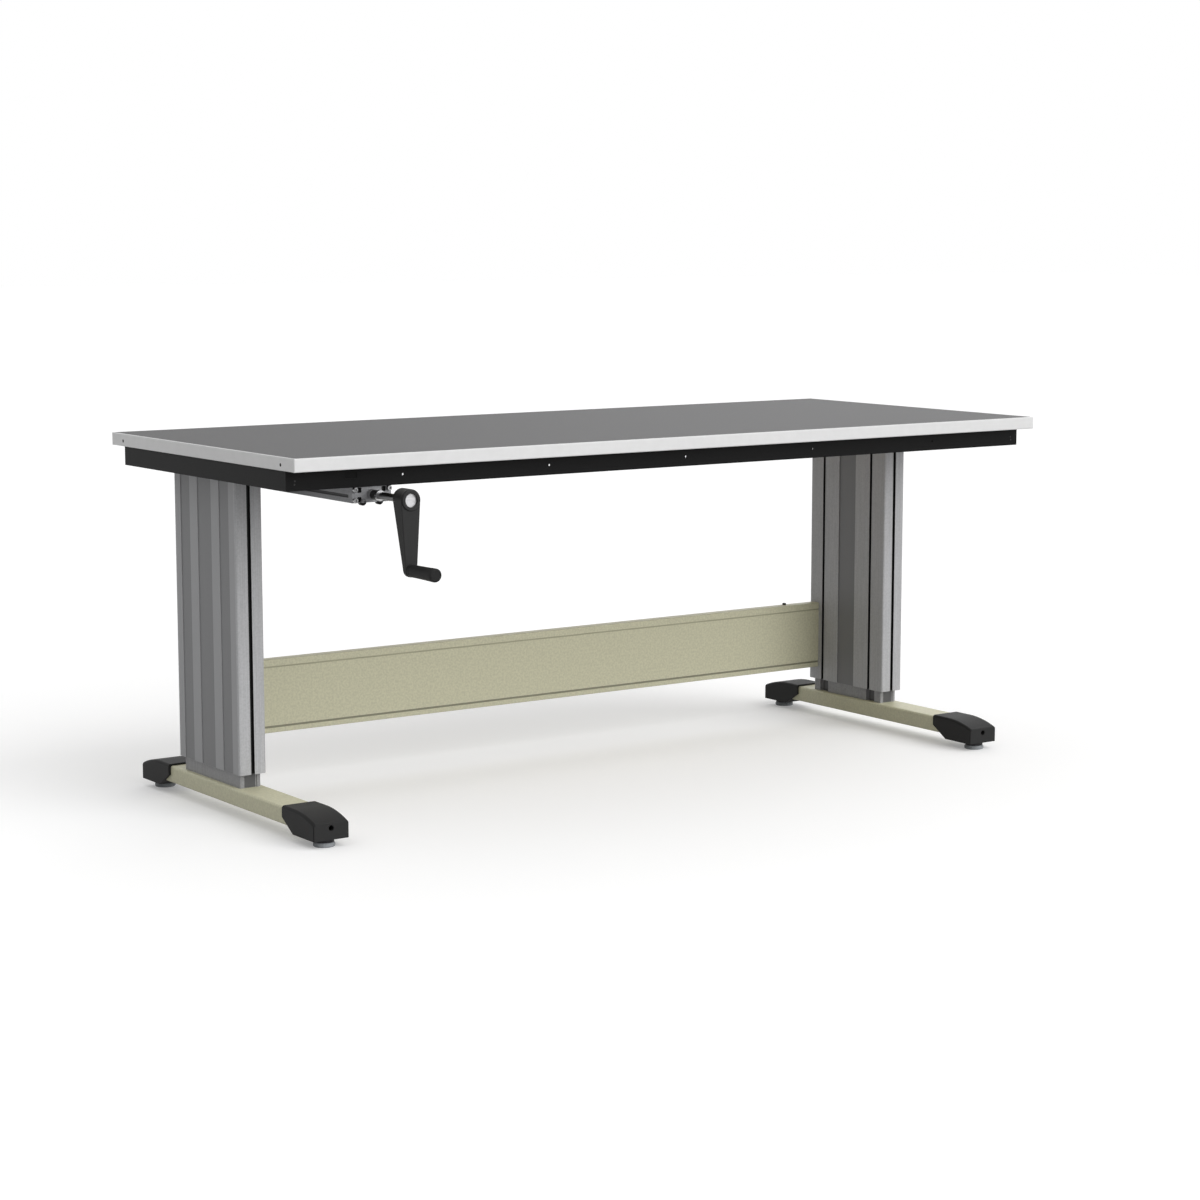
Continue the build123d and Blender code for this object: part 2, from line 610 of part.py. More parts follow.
for side, sign in SIDES.items():
    with BuildPart() as outer:
        with BuildSketch(column_plane(sign, COLUMN_BOTTOM)):
            RectangleRounded(COLUMN_WIDTH, COLUMN_DEPTH, COLUMN_CORNER)
            Rectangle(COLUMN_WIDTH - 2 * COLUMN_WALL, COLUMN_DEPTH - 2 * COLUMN_WALL, mode=Mode.SUBTRACT)
            inward_rectangles(slot_places(sign), SLOT_BLOCK_WIDTH, SLOT_BLOCK_DEPTH, Mode.ADD)
            cavity_places = slot_places(sign, SLOT_LIP)
            inward_rectangles(cavity_places, SLOT_CAVITY_WIDTH, SLOT_CAVITY_DEPTH, Mode.SUBTRACT)
            inward_rectangles(slot_places(sign), SLOT_OPENING, SLOT_LIP, Mode.SUBTRACT)
            with Locations((-sign * COLUMN_WIDTH / 2, 0)):
                Rectangle(2 * GROOVE_DEEP, GROOVE_WIDE, mode=Mode.SUBTRACT)
            with Locations((sign * COLUMN_WIDTH / 2, 0)):
                Rectangle(2 * GROOVE_DEPTH, GROOVE_WIDE, mode=Mode.SUBTRACT)
                with GridLocations(0, SLOT_PITCH, 1, 2):
                    Rectangle(2 * GROOVE_DEPTH, GROOVE_NARROW, mode=Mode.SUBTRACT)
        extrude(amount=COLUMN_TOP - COLUMN_BOTTOM)
        inner_face = Plane(origin=(sign * STRETCHER_END, 0, 0), x_dir=(0, 1, 0), z_dir=(1, 0, 0))
        bolt_way = sign * COLUMN_WALL
        drill(inner_face, stretcher_bolt_places(), COLUMN_PORT_R, bolt_way)
        outer_side = Plane(
            origin=(sign * (COLUMN_X + COLUMN_WIDTH / 2), 0, 0), x_dir=(0, 1, 0), z_dir=(1, 0, 0)
        )
        drill(outer_side, head_screw_places(), HEAD_SCREW_HOLE_R, -bolt_way)
    save(outer, f"outer_column_{side}")

    with BuildPart() as inner:
        with BuildSketch(column_plane(sign, FOOT_TOP)):
            RectangleRounded(INNER_WIDTH, INNER_DEPTH, INNER_CORNER)
            inward_rectangles(slot_places(sign), RELIEF_WIDTH, RELIEF_DEPTH, Mode.SUBTRACT)
            Rectangle(2 * CHAMBER_OUTER, CENTRE_CHAMBER, mode=Mode.SUBTRACT)
            with Locations((sign * (CHAMBER_OUTER - CHAMBER_INNER) / 2, 0)):
                with GridLocations(0, END_CHAMBER_START + END_CHAMBER_STOP, 1, 2):
                    Rectangle(
                        CHAMBER_OUTER + CHAMBER_INNER,
                        END_CHAMBER_STOP - END_CHAMBER_START,
                        mode=Mode.SUBTRACT,
                    )
            with GridLocations(PORT_SPREAD, PORT_WEB_PITCH, 2, 2):
                Circle(COLUMN_PORT_R, mode=Mode.SUBTRACT)
        extrude(amount=INNER_TOP - FOOT_TOP)
    save(inner, f"inner_column_{side}")

with BuildPart() as column_bolts:
    for sign in SIDES.values():
        for place in port_places(sign):
            with BuildSketch(Plane.XY.offset(FOOT_TOP - FOOT_TUBE_WALL)):
                with Locations(place):
                    Circle(BOLT_HEAD_R)
            extrude(amount=-BOLT_HEAD)
            with BuildSketch(Plane.XY.offset(FOOT_TOP - FOOT_TUBE_WALL)):
                with Locations(place):
                    Circle(BOLT_R)
            extrude(amount=FOOT_TUBE_WALL + BOLT_DEPTH)
save(column_bolts, "column_bolts")


def glide_pads(sign, height, held_by_inner):
    """Plastic pads between the two profiles of one column, in the open part."""
    inner_clear = 0.0 if held_by_inner else GLIDE_CLEAR
    side_start = INNER_WIDTH / 2 + inner_clear
    end_start = INNER_DEPTH / 2 + inner_clear
    side_thick = GLIDE_GAP_SIDE - GLIDE_CLEAR
    end_thick = GLIDE_GAP_END - GLIDE_CLEAR
    end_x = (RELIEF_WIDTH + GLIDE_EDGE) / 2
    with BuildSketch(column_plane(sign, height)) as pads:
        with Locations((sign * (side_start + side_thick / 2), 0)):
            with GridLocations(0, GLIDE_PITCH, 1, 2):
                Rectangle(side_thick, GLIDE_WIDTH)
        with Locations((-sign * (side_start + side_thick / 2), 0)):
            Rectangle(side_thick, GLIDE_WIDTH)
        with GridLocations(2 * end_x, 2 * end_start + end_thick, 2, 2):
            Rectangle(GLIDE_EDGE, end_thick)
    extrude(pads.sketch, amount=GLIDE_HEIGHT)


with BuildPart() as upper_glides:
    for sign in SIDES.values():
        glide_pads(sign, INNER_TOP - GLIDE_INSET - GLIDE_HEIGHT, True)
save(upper_glides, "upper_glides")

with BuildPart() as lower_glides:
    for sign in SIDES.values():
        glide_pads(sign, COLUMN_BOTTOM + GLIDE_INSET, False)
save(lower_glides, "lower_glides")

# Column heads, and the hat-section arms that carry the worktop on them
HEAD_HOLE_R = BOLT_R + THREAD_CLEAR
SPIGOT_HOLE_R = SPIGOT_R + THREAD_CLEAR
ARM_LENGTH = 2 * ARM_END_Y

for side, sign in SIDES.items():
    with BuildPart() as head:
        with BuildSketch(column_plane(sign, HEAD_BOTTOM)):
            Rectangle(
                COLUMN_WIDTH - 2 * (COLUMN_WALL + HEAD_FIT),
                COLUMN_DEPTH - 2 * (COLUMN_WALL + HEAD_FIT),
            )
            inward_rectangles(
                slot_places(sign), SLOT_BLOCK_WIDTH + 2 * HEAD_FIT, SLOT_BLOCK_DEPTH + HEAD_FIT, Mode.SUBTRACT
            )
            Circle(SPIGOT_HOLE_R, mode=Mode.SUBTRACT)
        extrude(amount=HEAD_HEIGHT)
        drill(Plane.XY.offset(COLUMN_TOP), head_bolt_places(sign), HEAD_HOLE_R, -BOLT_DEPTH)
        outer_side = Plane(
            origin=(sign * (COLUMN_X + COLUMN_WIDTH / 2), 0, 0), x_dir=(0, 1, 0), z_dir=(1, 0, 0)
        )
        drill(outer_side, head_screw_places(), HEAD_SCREW_HOLE_R, -sign * HEAD_SCREW_DEPTH)
    save(head, f"column_head_{side}")

    with BuildPart() as arm:
        arm_plane = Plane(origin=(sign * COLUMN_X, 0, COLUMN_TOP), x_dir=(1, 0, 0), z_dir=(0, -1, 0))
        with BuildSketch(arm_plane):
            Rectangle(ARM_WIDTH, ARM_HEIGHT, align=(Align.CENTER, Align.MIN))
            with Locations((0, ARM_WALL)):
                Rectangle(
                    ARM_WIDTH - 2 * ARM_WALL, ARM_HEIGHT, align=(Align.CENTER, Align.MIN), mode=Mode.SUBTRACT
                )
            with Locations((0, ARM_HEIGHT)):
                with GridLocations(ARM_WIDTH + ARM_LIP, 0, 2, 1):
                    Rectangle(ARM_LIP, ARM_WALL, align=(Align.CENTER, Align.MAX))
        extrude(amount=ARM_LENGTH / 2, both=True)
        drill(Plane.XY.offset(COLUMN_TOP), head_bolt_places(sign), BOLT_R + HOLE_CLEAR, ARM_WALL)
        drill(Plane.XY.offset(COLUMN_TOP), [(sign * COLUMN_X, COLUMN_Y)], SPIGOT_R + HOLE_CLEAR, ARM_WALL)
    save(arm, f"column_arm_{side}")

with BuildPart() as head_bolts:
    for sign in SIDES.values():
        shank = ARM_WALL + BOLT_DEPTH - HOLE_CLEAR
        drop_bolts(head_bolt_places(sign), ARM_FLOOR, BOLT_HEAD_R, BOLT_HEAD, BOLT_R, shank)
        screw_end = COLUMN_X + COLUMN_WIDTH / 2 - HEAD_SCREW_SINK
        with BuildSketch(Plane(origin=(sign * screw_end, 0, 0), x_dir=(0, 1, 0), z_dir=(1, 0, 0))):
            with Locations(*head_screw_places()):
                Circle(SMALL_BOLT_R)
        extrude(amount=-sign * (HEAD_SCREW_DEPTH - HEAD_SCREW_SINK))
save(head_bolts, "column_head_bolts")

# Lift cylinders: each ram stands on the foot inside its barrel, which hangs from the column head
for side, sign in SIDES.items():
    with BuildPart() as rod:
        for start, stop, radius in (
            (FOOT_TOP, FOOT_TOP + ROD_FLANGE, ROD_FLANGE_R),
            (FOOT_TOP, PISTON_TOP, ROD_R),
            (PISTON_TOP - PISTON_HEAD, PISTON_TOP, BARREL_BORE_R - RUN_CLEAR),
        ):
            with BuildSketch(column_plane(sign, start)):
                Circle(radius)
            extrude(amount=stop - start)
    save(rod, f"cylinder_rod_{side}")

    with BuildPart() as barrel:
        for start, stop, radius in (
            (BARREL_BOTTOM, HEAD_BOTTOM, BARREL_R),
            (HEAD_BOTTOM, ARM_FLOOR, SPIGOT_R),
            (ARM_FLOOR, ARM_FLOOR + INLET_LENGTH, INLET_R),
        ):
            with BuildSketch(column_plane(sign, start)):
                Circle(radius)
            extrude(amount=stop - start)
        for start, stop, radius in (
            (BARREL_BOTTOM, BARREL_BOTTOM + GLAND_LENGTH, ROD_R + RUN_CLEAR),
            (BARREL_BOTTOM + GLAND_LENGTH, BARREL_BORE_TOP, BARREL_BORE_R),
            (BARREL_BORE_TOP, ARM_FLOOR + INLET_LENGTH, INLET_BORE_R),
        ):
            with BuildSketch(column_plane(sign, start)):
                Circle(radius)
            extrude(amount=stop - start, mode=Mode.SUBTRACT)
    save(barrel, f"cylinder_barrel_{side}")

# Stretcher: a lipped channel open to the rear, with an end plate at each column
with BuildPart() as stretcher:
    with BuildSketch(Plane.YZ):
        with BuildLine():
            Polyline(
                (STRETCHER_FRONT, STRETCHER_BOTTOM),
                (STRETCHER_FRONT, STRETCHER_TOP),
                (STRETCHER_REAR, STRETCHER_TOP),
                (STRETCHER_REAR, STRETCHER_BOTTOM),
                close=True,
            )
        make_face()
        fillet(vertices(), STRETCHER_ROUND)
        with Locations(((STRETCHER_FRONT + STRETCHER_REAR) / 2, (STRETCHER_BOTTOM + STRETCHER_TOP) / 2)):
            Rectangle(
                STRETCHER_DEPTH - 2 * STRETCHER_WALL,
                STRETCHER_HEIGHT - 2 * STRETCHER_WALL,
                mode=Mode.SUBTRACT,
            )
        with Locations((STRETCHER_REAR, (STRETCHER_BOTTOM + STRETCHER_TOP) / 2)):
            Rectangle(2 * STRETCHER_WALL, STRETCHER_HEIGHT - 2 * STRETCHER_RETURN, mode=Mode.SUBTRACT)
        for level, width in (
            (STRETCHER_TOP - STRETCHER_TOP_LIP - STRETCHER_TOP_LINE, STRETCHER_TOP_LINE),
            (STRETCHER_BOTTOM + STRETCHER_BOTTOM_LIP, STRETCHER_BOTTOM_LINE),
        ):
            with Locations((STRETCHER_FRONT, level)):
                Rectangle(
                    2 * STRETCHER_LINE_DEPTH, width, align=(Align.CENTER, Align.MIN), mode=Mode.SUBTRACT
                )
    extrude(amount=STRETCHER_END, both=True)
    for sign in SIDES.values():
        end_plane = Plane(origin=(sign * STRETCHER_END, 0, 0), x_dir=(0, 1, 0), z_dir=(1, 0, 0))
        with BuildSketch(end_plane):
            with Locations(
                ((STRETCHER_FRONT + STRETCHER_REAR) / 2, (STRETCHER_BOTTOM + STRETCHER_TOP) / 2)
            ):
                Rectangle(STRETCHER_DEPTH - STRETCHER_WALL, STRETCHER_HEIGHT - STRETCHER_WALL)
        extrude(amount=-sign * END_PLATE)
        drill(end_plane, stretcher_bolt_places(), BOLT_R + HOLE_CLEAR, -sign * END_PLATE)
save(stretcher, "stretcher")

with BuildPart() as stretcher_bolts:
    for sign in SIDES.values():
        seat = Plane(origin=(sign * (STRETCHER_END - END_PLATE), 0, 0), x_dir=(0, 1, 0), z_dir=(1, 0, 0))
        with BuildSketch(seat):
            with Locations(*stretcher_bolt_places()):
                Circle(BOLT_HEAD_R)
        extrude(amount=-sign * BOLT_HEAD)
        with BuildSketch(seat):
            with Locations(*stretcher_bolt_places()):
                Circle(BOLT_R)
        extrude(amount=sign * (END_PLATE + COLUMN_WALL))
save(stretcher_bolts, "stretcher_bolts")

with BuildPart() as plug:
    with BuildSketch(Plane.XY.offset(STRETCHER_TOP)):
        with Locations((PLUG_X, STRETCHER_REAR - PLUG_R - STRETCHER_ROUND)):
            Circle(PLUG_R)
    extrude(amount=PLUG_HEIGHT)
    fillet(plug.edges().group_by(Axis.Z)[-1], PLUG_HEIGHT / 2)
save(plug, "stretcher_plug")

# Pump: extruded body, front plate, rear port block, screws and the hanger at its rear end
PLATE_SCREWS = [
    (i * PLATE_SCREW_X / 2, j * PLATE_SCREW_Z / 2) for i in (-1, 1) for j in (-1, 1)
]
LUG_Z = LUG_RISE - PUMP_HEIGHT / 2
LUGS = [(i * LUG_SPREAD / 2, LUG_Z) for i in (-1, 1)]
BORES = [(i * PUMP_BORE_SPREAD / 2, 0) for i in (-1, 1)]
BUSH_SLEEVE_R = SHAFT_R + BUSH_SLEEVE_WALL

with BuildPart() as pump_body:
    with BuildSketch(pump_section(PUMP_FRONT)):
        RectangleRounded(PUMP_WIDTH, PUMP_HEIGHT, PUMP_ROUND)
    extrude(amount=-PUMP_LENGTH)
    with BuildSketch(pump_section(PUMP_FRONT)):
        Rectangle(PUMP_CAVITY_WIDTH, PUMP_CAVITY_HEIGHT)
    extrude(amount=-(PUMP_BORE_START - PUMP_FRONT), mode=Mode.SUBTRACT)
    drill(pump_section(PUMP_BORE_START), BORES, PUMP_BORE_R, PUMP_BORE_START - PUMP_REAR)
    drill(pump_section(PUMP_BORE_START), [(0, 0)], SCREW_R + RUN_CLEAR, -SCREW_END_LENGTH)
    drill(pump_section(PUMP_FRONT), PLATE_SCREWS, SMALL_BOLT_R + THREAD_CLEAR, -SMALL_BOLT_DEPTH)
    with BuildSketch(pump_section(PUMP_FRONT + PUMP_SLOT_STOP)):
        with Locations((0, PUMP_SLOT_RISE - PUMP_HEIGHT / 2)):
            with GridLocations(PUMP_WIDTH, 0, 2, 1):
                Rectangle(2 * PUMP_SLOT_DEPTH, PUMP_SLOT_WIDTH)
    extrude(amount=-(PUMP_LENGTH - PUMP_SLOT_STOP), mode=Mode.SUBTRACT)
    drill(pump_section(PUMP_REAR), PLATE_SCREWS, SMALL_BOLT_R + THREAD_CLEAR, SMALL_BOLT_DEPTH)
save(pump_body, "pump_body")

with BuildPart() as front_plate:
    with BuildSketch(pump_section(PUMP_FRONT)):
        RectangleRounded(PUMP_WIDTH, PUMP_HEIGHT, PUMP_ROUND)
        with Locations(*LUGS):
            Circle(LUG_R)
        Circle(BUSH_SLEEVE_R + THREAD_CLEAR, mode=Mode.SUBTRACT)
        with Locations(*PLATE_SCREWS, *LUGS):
            Circle(SMALL_BOLT_R + HOLE_CLEAR, mode=Mode.SUBTRACT)
    extrude(amount=PLATE_THICK)
    with BuildSketch(pump_section(PLATE_FRONT)):
        with GridLocations(POCKET_SPREAD, POCKET_PITCH, 2, 2):
            RectangleRounded(POCKET_WIDTH, POCKET_HEIGHT, POCKET_CORNER)
    extrude(amount=-POCKET_DEPTH, mode=Mode.SUBTRACT)
    with BuildSketch(pump_section(PLATE_FRONT)):
        Circle(PLATE_BOSS_R)
        Circle(BUSH_SLEEVE_R + THREAD_CLEAR, mode=Mode.SUBTRACT)
    extrude(amount=PLATE_BOSS)
    thread_r = SMALL_BOLT_R + THREAD_CLEAR
    drill(Plane.XY.offset(APRON_BOTTOM), pump_bolt_places(PUMP_BOLT_FRONT_Y), thread_r, -SMALL_BOLT_DEPTH)
save(front_plate, "pump_front_plate")

with BuildPart() as plate_screws:
    for seat, thick, way in ((PLATE_FRONT, PLATE_THICK, 1), (PUMP_REAR + REAR_BLOCK, REAR_BLOCK, -1)):
        with BuildSketch(pump_section(seat)):
            with Locations(*PLATE_SCREWS):
                Circle(SMALL_BOLT_HEAD_R)
        extrude(amount=way * SMALL_BOLT_HEAD)
        with BuildSketch(pump_section(seat)):
            with Locations(*PLATE_SCREWS):
                Circle(SMALL_BOLT_R)
        extrude(amount=-way * (thick + SMALL_BOLT_DEPTH - HOLE_CLEAR))
save(plate_screws, "pump_plate_screws")

with BuildPart() as lug_screws:
    with BuildSketch(pump_section(PLATE_FRONT)):
        with Locations(*LUGS):
            Circle(LUG_SCREW_HEAD_R)
    extrude(amount=LUG_SCREW_HEAD)
    fillet(lug_screws.edges().group_by(Axis.Y)[0], LUG_SCREW_HEAD / 2)
    with BuildSketch(pump_section(PLATE_FRONT)):
        with Locations(*LUGS):
            Circle(SMALL_BOLT_R)
    extrude(amount=-PLATE_THICK)
save(lug_screws, "pump_lug_screws")

with BuildPart() as rear_block:
    with BuildSketch(pump_section(PUMP_REAR)):
        RectangleRounded(PUMP_WIDTH, PUMP_HEIGHT, PUMP_ROUND)
    extrude(amount=-REAR_BLOCK)
    with BuildSketch(pump_section(PUMP_REAR + REAR_BLOCK)):
        with Locations(*BORES):
            Circle(PORT_R)
    extrude(amount=-PORT_LENGTH)
    drill(pump_section(PUMP_REAR), BORES, PORT_BORE_R, -(REAR_BLOCK + PORT_LENGTH))
    drill(pump_section(PUMP_REAR), PLATE_SCREWS, SMALL_BOLT_R + HOLE_CLEAR, -REAR_BLOCK)
    thread_r = SMALL_BOLT_R + THREAD_CLEAR
    drill(Plane.XY.offset(APRON_BOTTOM), pump_bolt_places(PUMP_BOLT_REAR_Y), thread_r, -SMALL_BOLT_DEPTH)
save(rear_block, "pump_rear_block")

with BuildPart() as hanger:
    with BuildSketch(Plane.YZ.offset(PUMP_X)):
        with Locations((HANGER_Y, APRON_BOTTOM)):
            Rectangle(HANGER_WALL, APRON_HEIGHT, align=(Align.CENTER, Align.MIN))
            Rectangle(HANGER_FLANGE, HANGER_WALL, align=(Align.MAX, Align.MIN))
        with Locations((HANGER_Y, TOP_UNDERSIDE)):
            Rectangle(HANGER_FLANGE, HANGER_WALL, align=(Align.MIN, Align.MAX))
    extrude(amount=HANGER_WIDTH / 2, both=True)
    hole_r = SMALL_BOLT_R + HOLE_CLEAR
    drill(Plane.XY.offset(APRON_BOTTOM), pump_bolt_places(PUMP_BOLT_REAR_Y), hole_r, HANGER_WALL)
save(hanger, "pump_hanger")

with BuildPart() as pump_bolts:
    for bolt_y, wall in ((PUMP_BOLT_FRONT_Y, APRON_WALL), (PUMP_BOLT_REAR_Y, HANGER_WALL)):
        drop_bolts(
            pump_bolt_places(bolt_y),
            APRON_BOTTOM + wall,
            SMALL_BOLT_HEAD_R,
            SMALL_BOLT_HEAD,
            SMALL_BOLT_R,
            wall + SMALL_BOLT_DEPTH - HOLE_CLEAR,
        )
save(pump_bolts, "pump_bolts")

with BuildPart() as bush:
    with BuildSketch(pump_section(BOSS_FRONT)):
        Circle(BUSH_R)
    extrude(amount=BUSH_LENGTH)
    with BuildSketch(pump_section(BOSS_FRONT)):
        Circle(BUSH_SLEEVE_R)
    extrude(amount=-(PLATE_BOSS + PLATE_THICK))
    bush_depth = BUSH_LENGTH + PLATE_BOSS + PLATE_THICK
    drill(pump_section(BOSS_FRONT - BUSH_LENGTH), [(0, 0)], SHAFT_R + RUN_CLEAR, -bush_depth)
save(bush, "pump_bush")

# Pump carriage: the nut bar on the screw and its two pistons
CROSSHEAD_Y = PUMP_FRONT + CROSSHEAD_START
PISTON_Y = PUMP_BORE_START + PISTON_START

with BuildPart() as crosshead:
    with BuildSketch(pump_section(CROSSHEAD_Y)):
        Rectangle(PUMP_CAVITY_WIDTH - 2 * CROSSHEAD_CLEAR, PUMP_CAVITY_HEIGHT - 2 * CROSSHEAD_CLEAR)
        Circle(SCREW_R + RUN_CLEAR, mode=Mode.SUBTRACT)
    extrude(amount=-CROSSHEAD_THICK)
save(crosshead, "pump_crosshead")

with BuildPart() as pistons:
    with BuildSketch(pump_section(CROSSHEAD_Y + CROSSHEAD_THICK)):
        with Locations(*BORES):
            Circle(PISTON_ROD_R)
    extrude(amount=-(PISTON_Y - CROSSHEAD_Y - CROSSHEAD_THICK))
    with BuildSketch(pump_section(PISTON_Y)):
        with Locations(*BORES):
            Circle(PUMP_BORE_R - RUN_CLEAR)
    extrude(amount=-PISTON_LENGTH)
save(pistons, "pump_pistons")

# Crank: shaft with its screw, collar, arm, hub cap, grip pin and turning grip
SHAFT_FRONT = HUB_FRONT + HUB_CAP_SINK + HUB_CAP_THICK
COLLAR_FRONT = BOSS_FRONT - BUSH_LENGTH - SHAFT_COLLAR_GAP - SHAFT_COLLAR_LENGTH

with BuildPart() as crank_shaft:
    with BuildSketch(pump_section(SHAFT_FRONT)):
        Circle(SHAFT_R)
    extrude(amount=-(PUMP_FRONT - SHAFT_FRONT))
    with BuildSketch(pump_section(PUMP_FRONT)):
        Circle(SCREW_R)
    extrude(amount=-(PUMP_BORE_START + SCREW_END_LENGTH - HOLE_CLEAR - PUMP_FRONT))
save(crank_shaft, "crank_shaft")

with BuildPart() as shaft_collar:
    with BuildSketch(pump_section(COLLAR_FRONT)):
        Circle(SHAFT_COLLAR_R)
        Circle(SHAFT_R + RUN_CLEAR, mode=Mode.SUBTRACT)
    extrude(amount=-SHAFT_COLLAR_LENGTH)
save(shaft_collar, "shaft_collar")

# The arm is a wedge: as thick as the hub at the top, thin at the grip
ARM_SLOPE = (HUB_REAR - ARM_FRONT - ARM_END_THICK) / CRANK_RADIUS
ARM_REACH = CRANK_RADIUS + 2 * ARM_END_R

with BuildPart() as crank_arm:
    with BuildSketch(pump_section(ARM_FRONT)):
        Circle(HUB_R)
        with Locations((0, -CRANK_RADIUS)):
            Circle(ARM_END_R)
        make_hull()
    extrude(amount=-(HUB_REAR - ARM_FRONT))
    with BuildSketch(Plane.YZ.offset(PUMP_X)):
        with BuildLine():
            Polyline(
                (HUB_REAR, PUMP_Z),
                (HUB_REAR - ARM_SLOPE * ARM_REACH, PUMP_Z - ARM_REACH),
                (HUB_REAR + HUB_EDGE, PUMP_Z - ARM_REACH),
                (HUB_REAR + HUB_EDGE, PUMP_Z),
                close=True,
            )
        make_face()
    extrude(amount=2 * HUB_R, both=True, mode=Mode.SUBTRACT)
    fillet(crank_arm.edges().group_by(Axis.Y)[0], ARM_EDGE)
    rear_slope = crank_arm.faces().sort_by(Axis.Y)[-2]
    fillet(rear_slope.edges().sort_by(Axis.Y)[:-1], ARM_EDGE)
    with BuildSketch(pump_section(HUB_FRONT)):
        Circle(HUB_R - HUB_EDGE)
    extrude(amount=-HUB_LENGTH)
    fillet(crank_arm.edges().group_by(Axis.Y)[0], HUB_EDGE)
    drill(pump_section(HUB_FRONT), [(0, 0)], HUB_CAP_R + THREAD_CLEAR, -(HUB_CAP_SINK + HUB_CAP_THICK))
    drill(pump_section(HUB_FRONT), [(0, 0)], SHAFT_R + RUN_CLEAR, -HUB_LENGTH)
    drill(pump_section(ARM_FRONT), [(0, -CRANK_RADIUS)], GRIP_PIN_R + RUN_CLEAR, -GRIP_PIN_SEAT)
save(crank_arm, "crank_arm")

with BuildPart() as hub_cap:
    with BuildSketch(pump_section(HUB_FRONT + HUB_CAP_SINK)):
        Circle(HUB_CAP_R)
    extrude(amount=-HUB_CAP_THICK)
save(hub_cap, "crank_hub_cap")

GRIP_START = ARM_FRONT - GRIP_GAP
GRIP_TIP = GRIP_START - GRIP_LENGTH

with BuildPart() as grip_pin:
    with BuildSketch(pump_section(ARM_FRONT + GRIP_PIN_SEAT)):
        with Locations((0, -CRANK_RADIUS)):
            Circle(GRIP_PIN_R)
    extrude(amount=ARM_FRONT + GRIP_PIN_SEAT - GRIP_TIP - GRIP_END_WALL - GRIP_GAP)
save(grip_pin, "grip_pin")

GRIP_TAPER = degrees(atan((GRIP_END_R - GRIP_NECK_R) / GRIP_LENGTH))

with BuildPart() as grip:
    with BuildSketch(pump_section(GRIP_START)):
        with Locations((0, -CRANK_RADIUS)):
            Circle(GRIP_NECK_R)
    extrude(amount=GRIP_LENGTH, taper=-GRIP_TAPER)
    fillet(grip.edges().group_by(Axis.Y)[0], GRIP_ROUND)
    bore_depth = GRIP_LENGTH - GRIP_END_WALL
    drill(pump_section(GRIP_START), [(0, -CRANK_RADIUS)], GRIP_PIN_R + RUN_CLEAR, bore_depth)
save(grip, "crank_grip")
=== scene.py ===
"""Looks of a hand-cranked height adjustable desk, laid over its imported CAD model."""

import math

import bmesh
import bpy
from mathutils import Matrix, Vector


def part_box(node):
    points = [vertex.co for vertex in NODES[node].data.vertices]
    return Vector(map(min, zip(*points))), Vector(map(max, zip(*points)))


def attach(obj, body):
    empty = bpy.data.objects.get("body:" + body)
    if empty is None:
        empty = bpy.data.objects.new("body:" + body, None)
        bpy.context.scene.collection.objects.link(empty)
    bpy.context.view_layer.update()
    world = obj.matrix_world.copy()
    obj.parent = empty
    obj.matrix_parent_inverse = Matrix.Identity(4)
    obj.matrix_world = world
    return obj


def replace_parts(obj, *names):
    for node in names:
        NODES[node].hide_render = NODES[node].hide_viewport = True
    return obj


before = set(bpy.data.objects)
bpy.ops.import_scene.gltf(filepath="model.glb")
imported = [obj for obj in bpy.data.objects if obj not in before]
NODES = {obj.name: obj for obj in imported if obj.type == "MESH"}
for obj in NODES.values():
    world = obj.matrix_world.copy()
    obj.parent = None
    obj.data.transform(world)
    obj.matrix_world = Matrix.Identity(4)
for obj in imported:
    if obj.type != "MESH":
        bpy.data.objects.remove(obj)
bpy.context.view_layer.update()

bl_info = {
    "name": "Crank desk",
    "version": (1, 0, 0),
    "blender": (4, 5, 0),
    "location": "View3D > Sidebar > Desk",
    "description": "Finishes and small hardware for a hand-cranked height adjustable desk",
    "category": "Object",
}

SIDES = ("left", "right")
ENDS = ("front", "rear")
WAYS = (-1.0, 1.0)
HALVES = (-0.5, 0.5)
QUARTER_TURN = math.pi / 2
UPRIGHT = (0.0, 0.0, 0.0)

# Where shade is painted on the pieces: lengths, and (from, to) ranges, in metres
MARK_EDGE = 0.0003
FINE_EDGE = 0.0001
COLUMN_ROUNDING = 0.006
RIDGE_DEPTH = 0.0002
GROOVE_DEPTH = (0.0011, 0.0026)
CENTRE_GROOVE_DEPTH = (0.0008, 0.0028)
CENTRE_GROOVE_REACH = 0.0292
SLOT_DEPTH = (0.0006, 0.012)
SLOT_OFFSET = 0.0825
SLOT_REACH = 0.008
RELIEF_REACH = 0.012
LINE_DEPTH = (0.0006, 0.003)
UPPER_LINE_DROP = (0.0138, 0.0172)
LOWER_LINE_RISE = (0.0102, 0.015)
PUMP_SLOT_DEPTH = (0.0006, 0.003)
PUMP_SLOT_RISE = (0.009, 0.016)
POCKET_ACROSS = (0.0213, 0.0307)
POCKET_UP = (0.0038, 0.0142)
POCKET_FORWARD = (0.001, 0.0074)
LUG_DROP = 0.0002
LUG_FORWARD = -0.0005
DOME_DROP = -0.0002
BOSS_INSET = 0.0015
BOSS_STEP = (-0.0002, 0.0014)
BOSS_STEP_DEPTH = (0.001, 0.004)
DISC_WALL = (-0.0005, 0.0008)
DISC_WALL_START = 0.0006
FLANK_START = 0.0045
FLANK_EDGE = 0.0005
CAP_FALL_LENGTH = 0.08
CAP_FACE_HEIGHT = 0.033
CAP_ROUND = (-0.002, 0.0045)
CAP_ROUND_EDGE = 0.001
CAP_NOSE_ROUND = (-0.002, 0.0018)
CAP_NOSE_EDGE = 0.0006
RECESS_DEPTH = (0.0005, 0.0015)
RECESS_RISE = (0.015, 0.031)
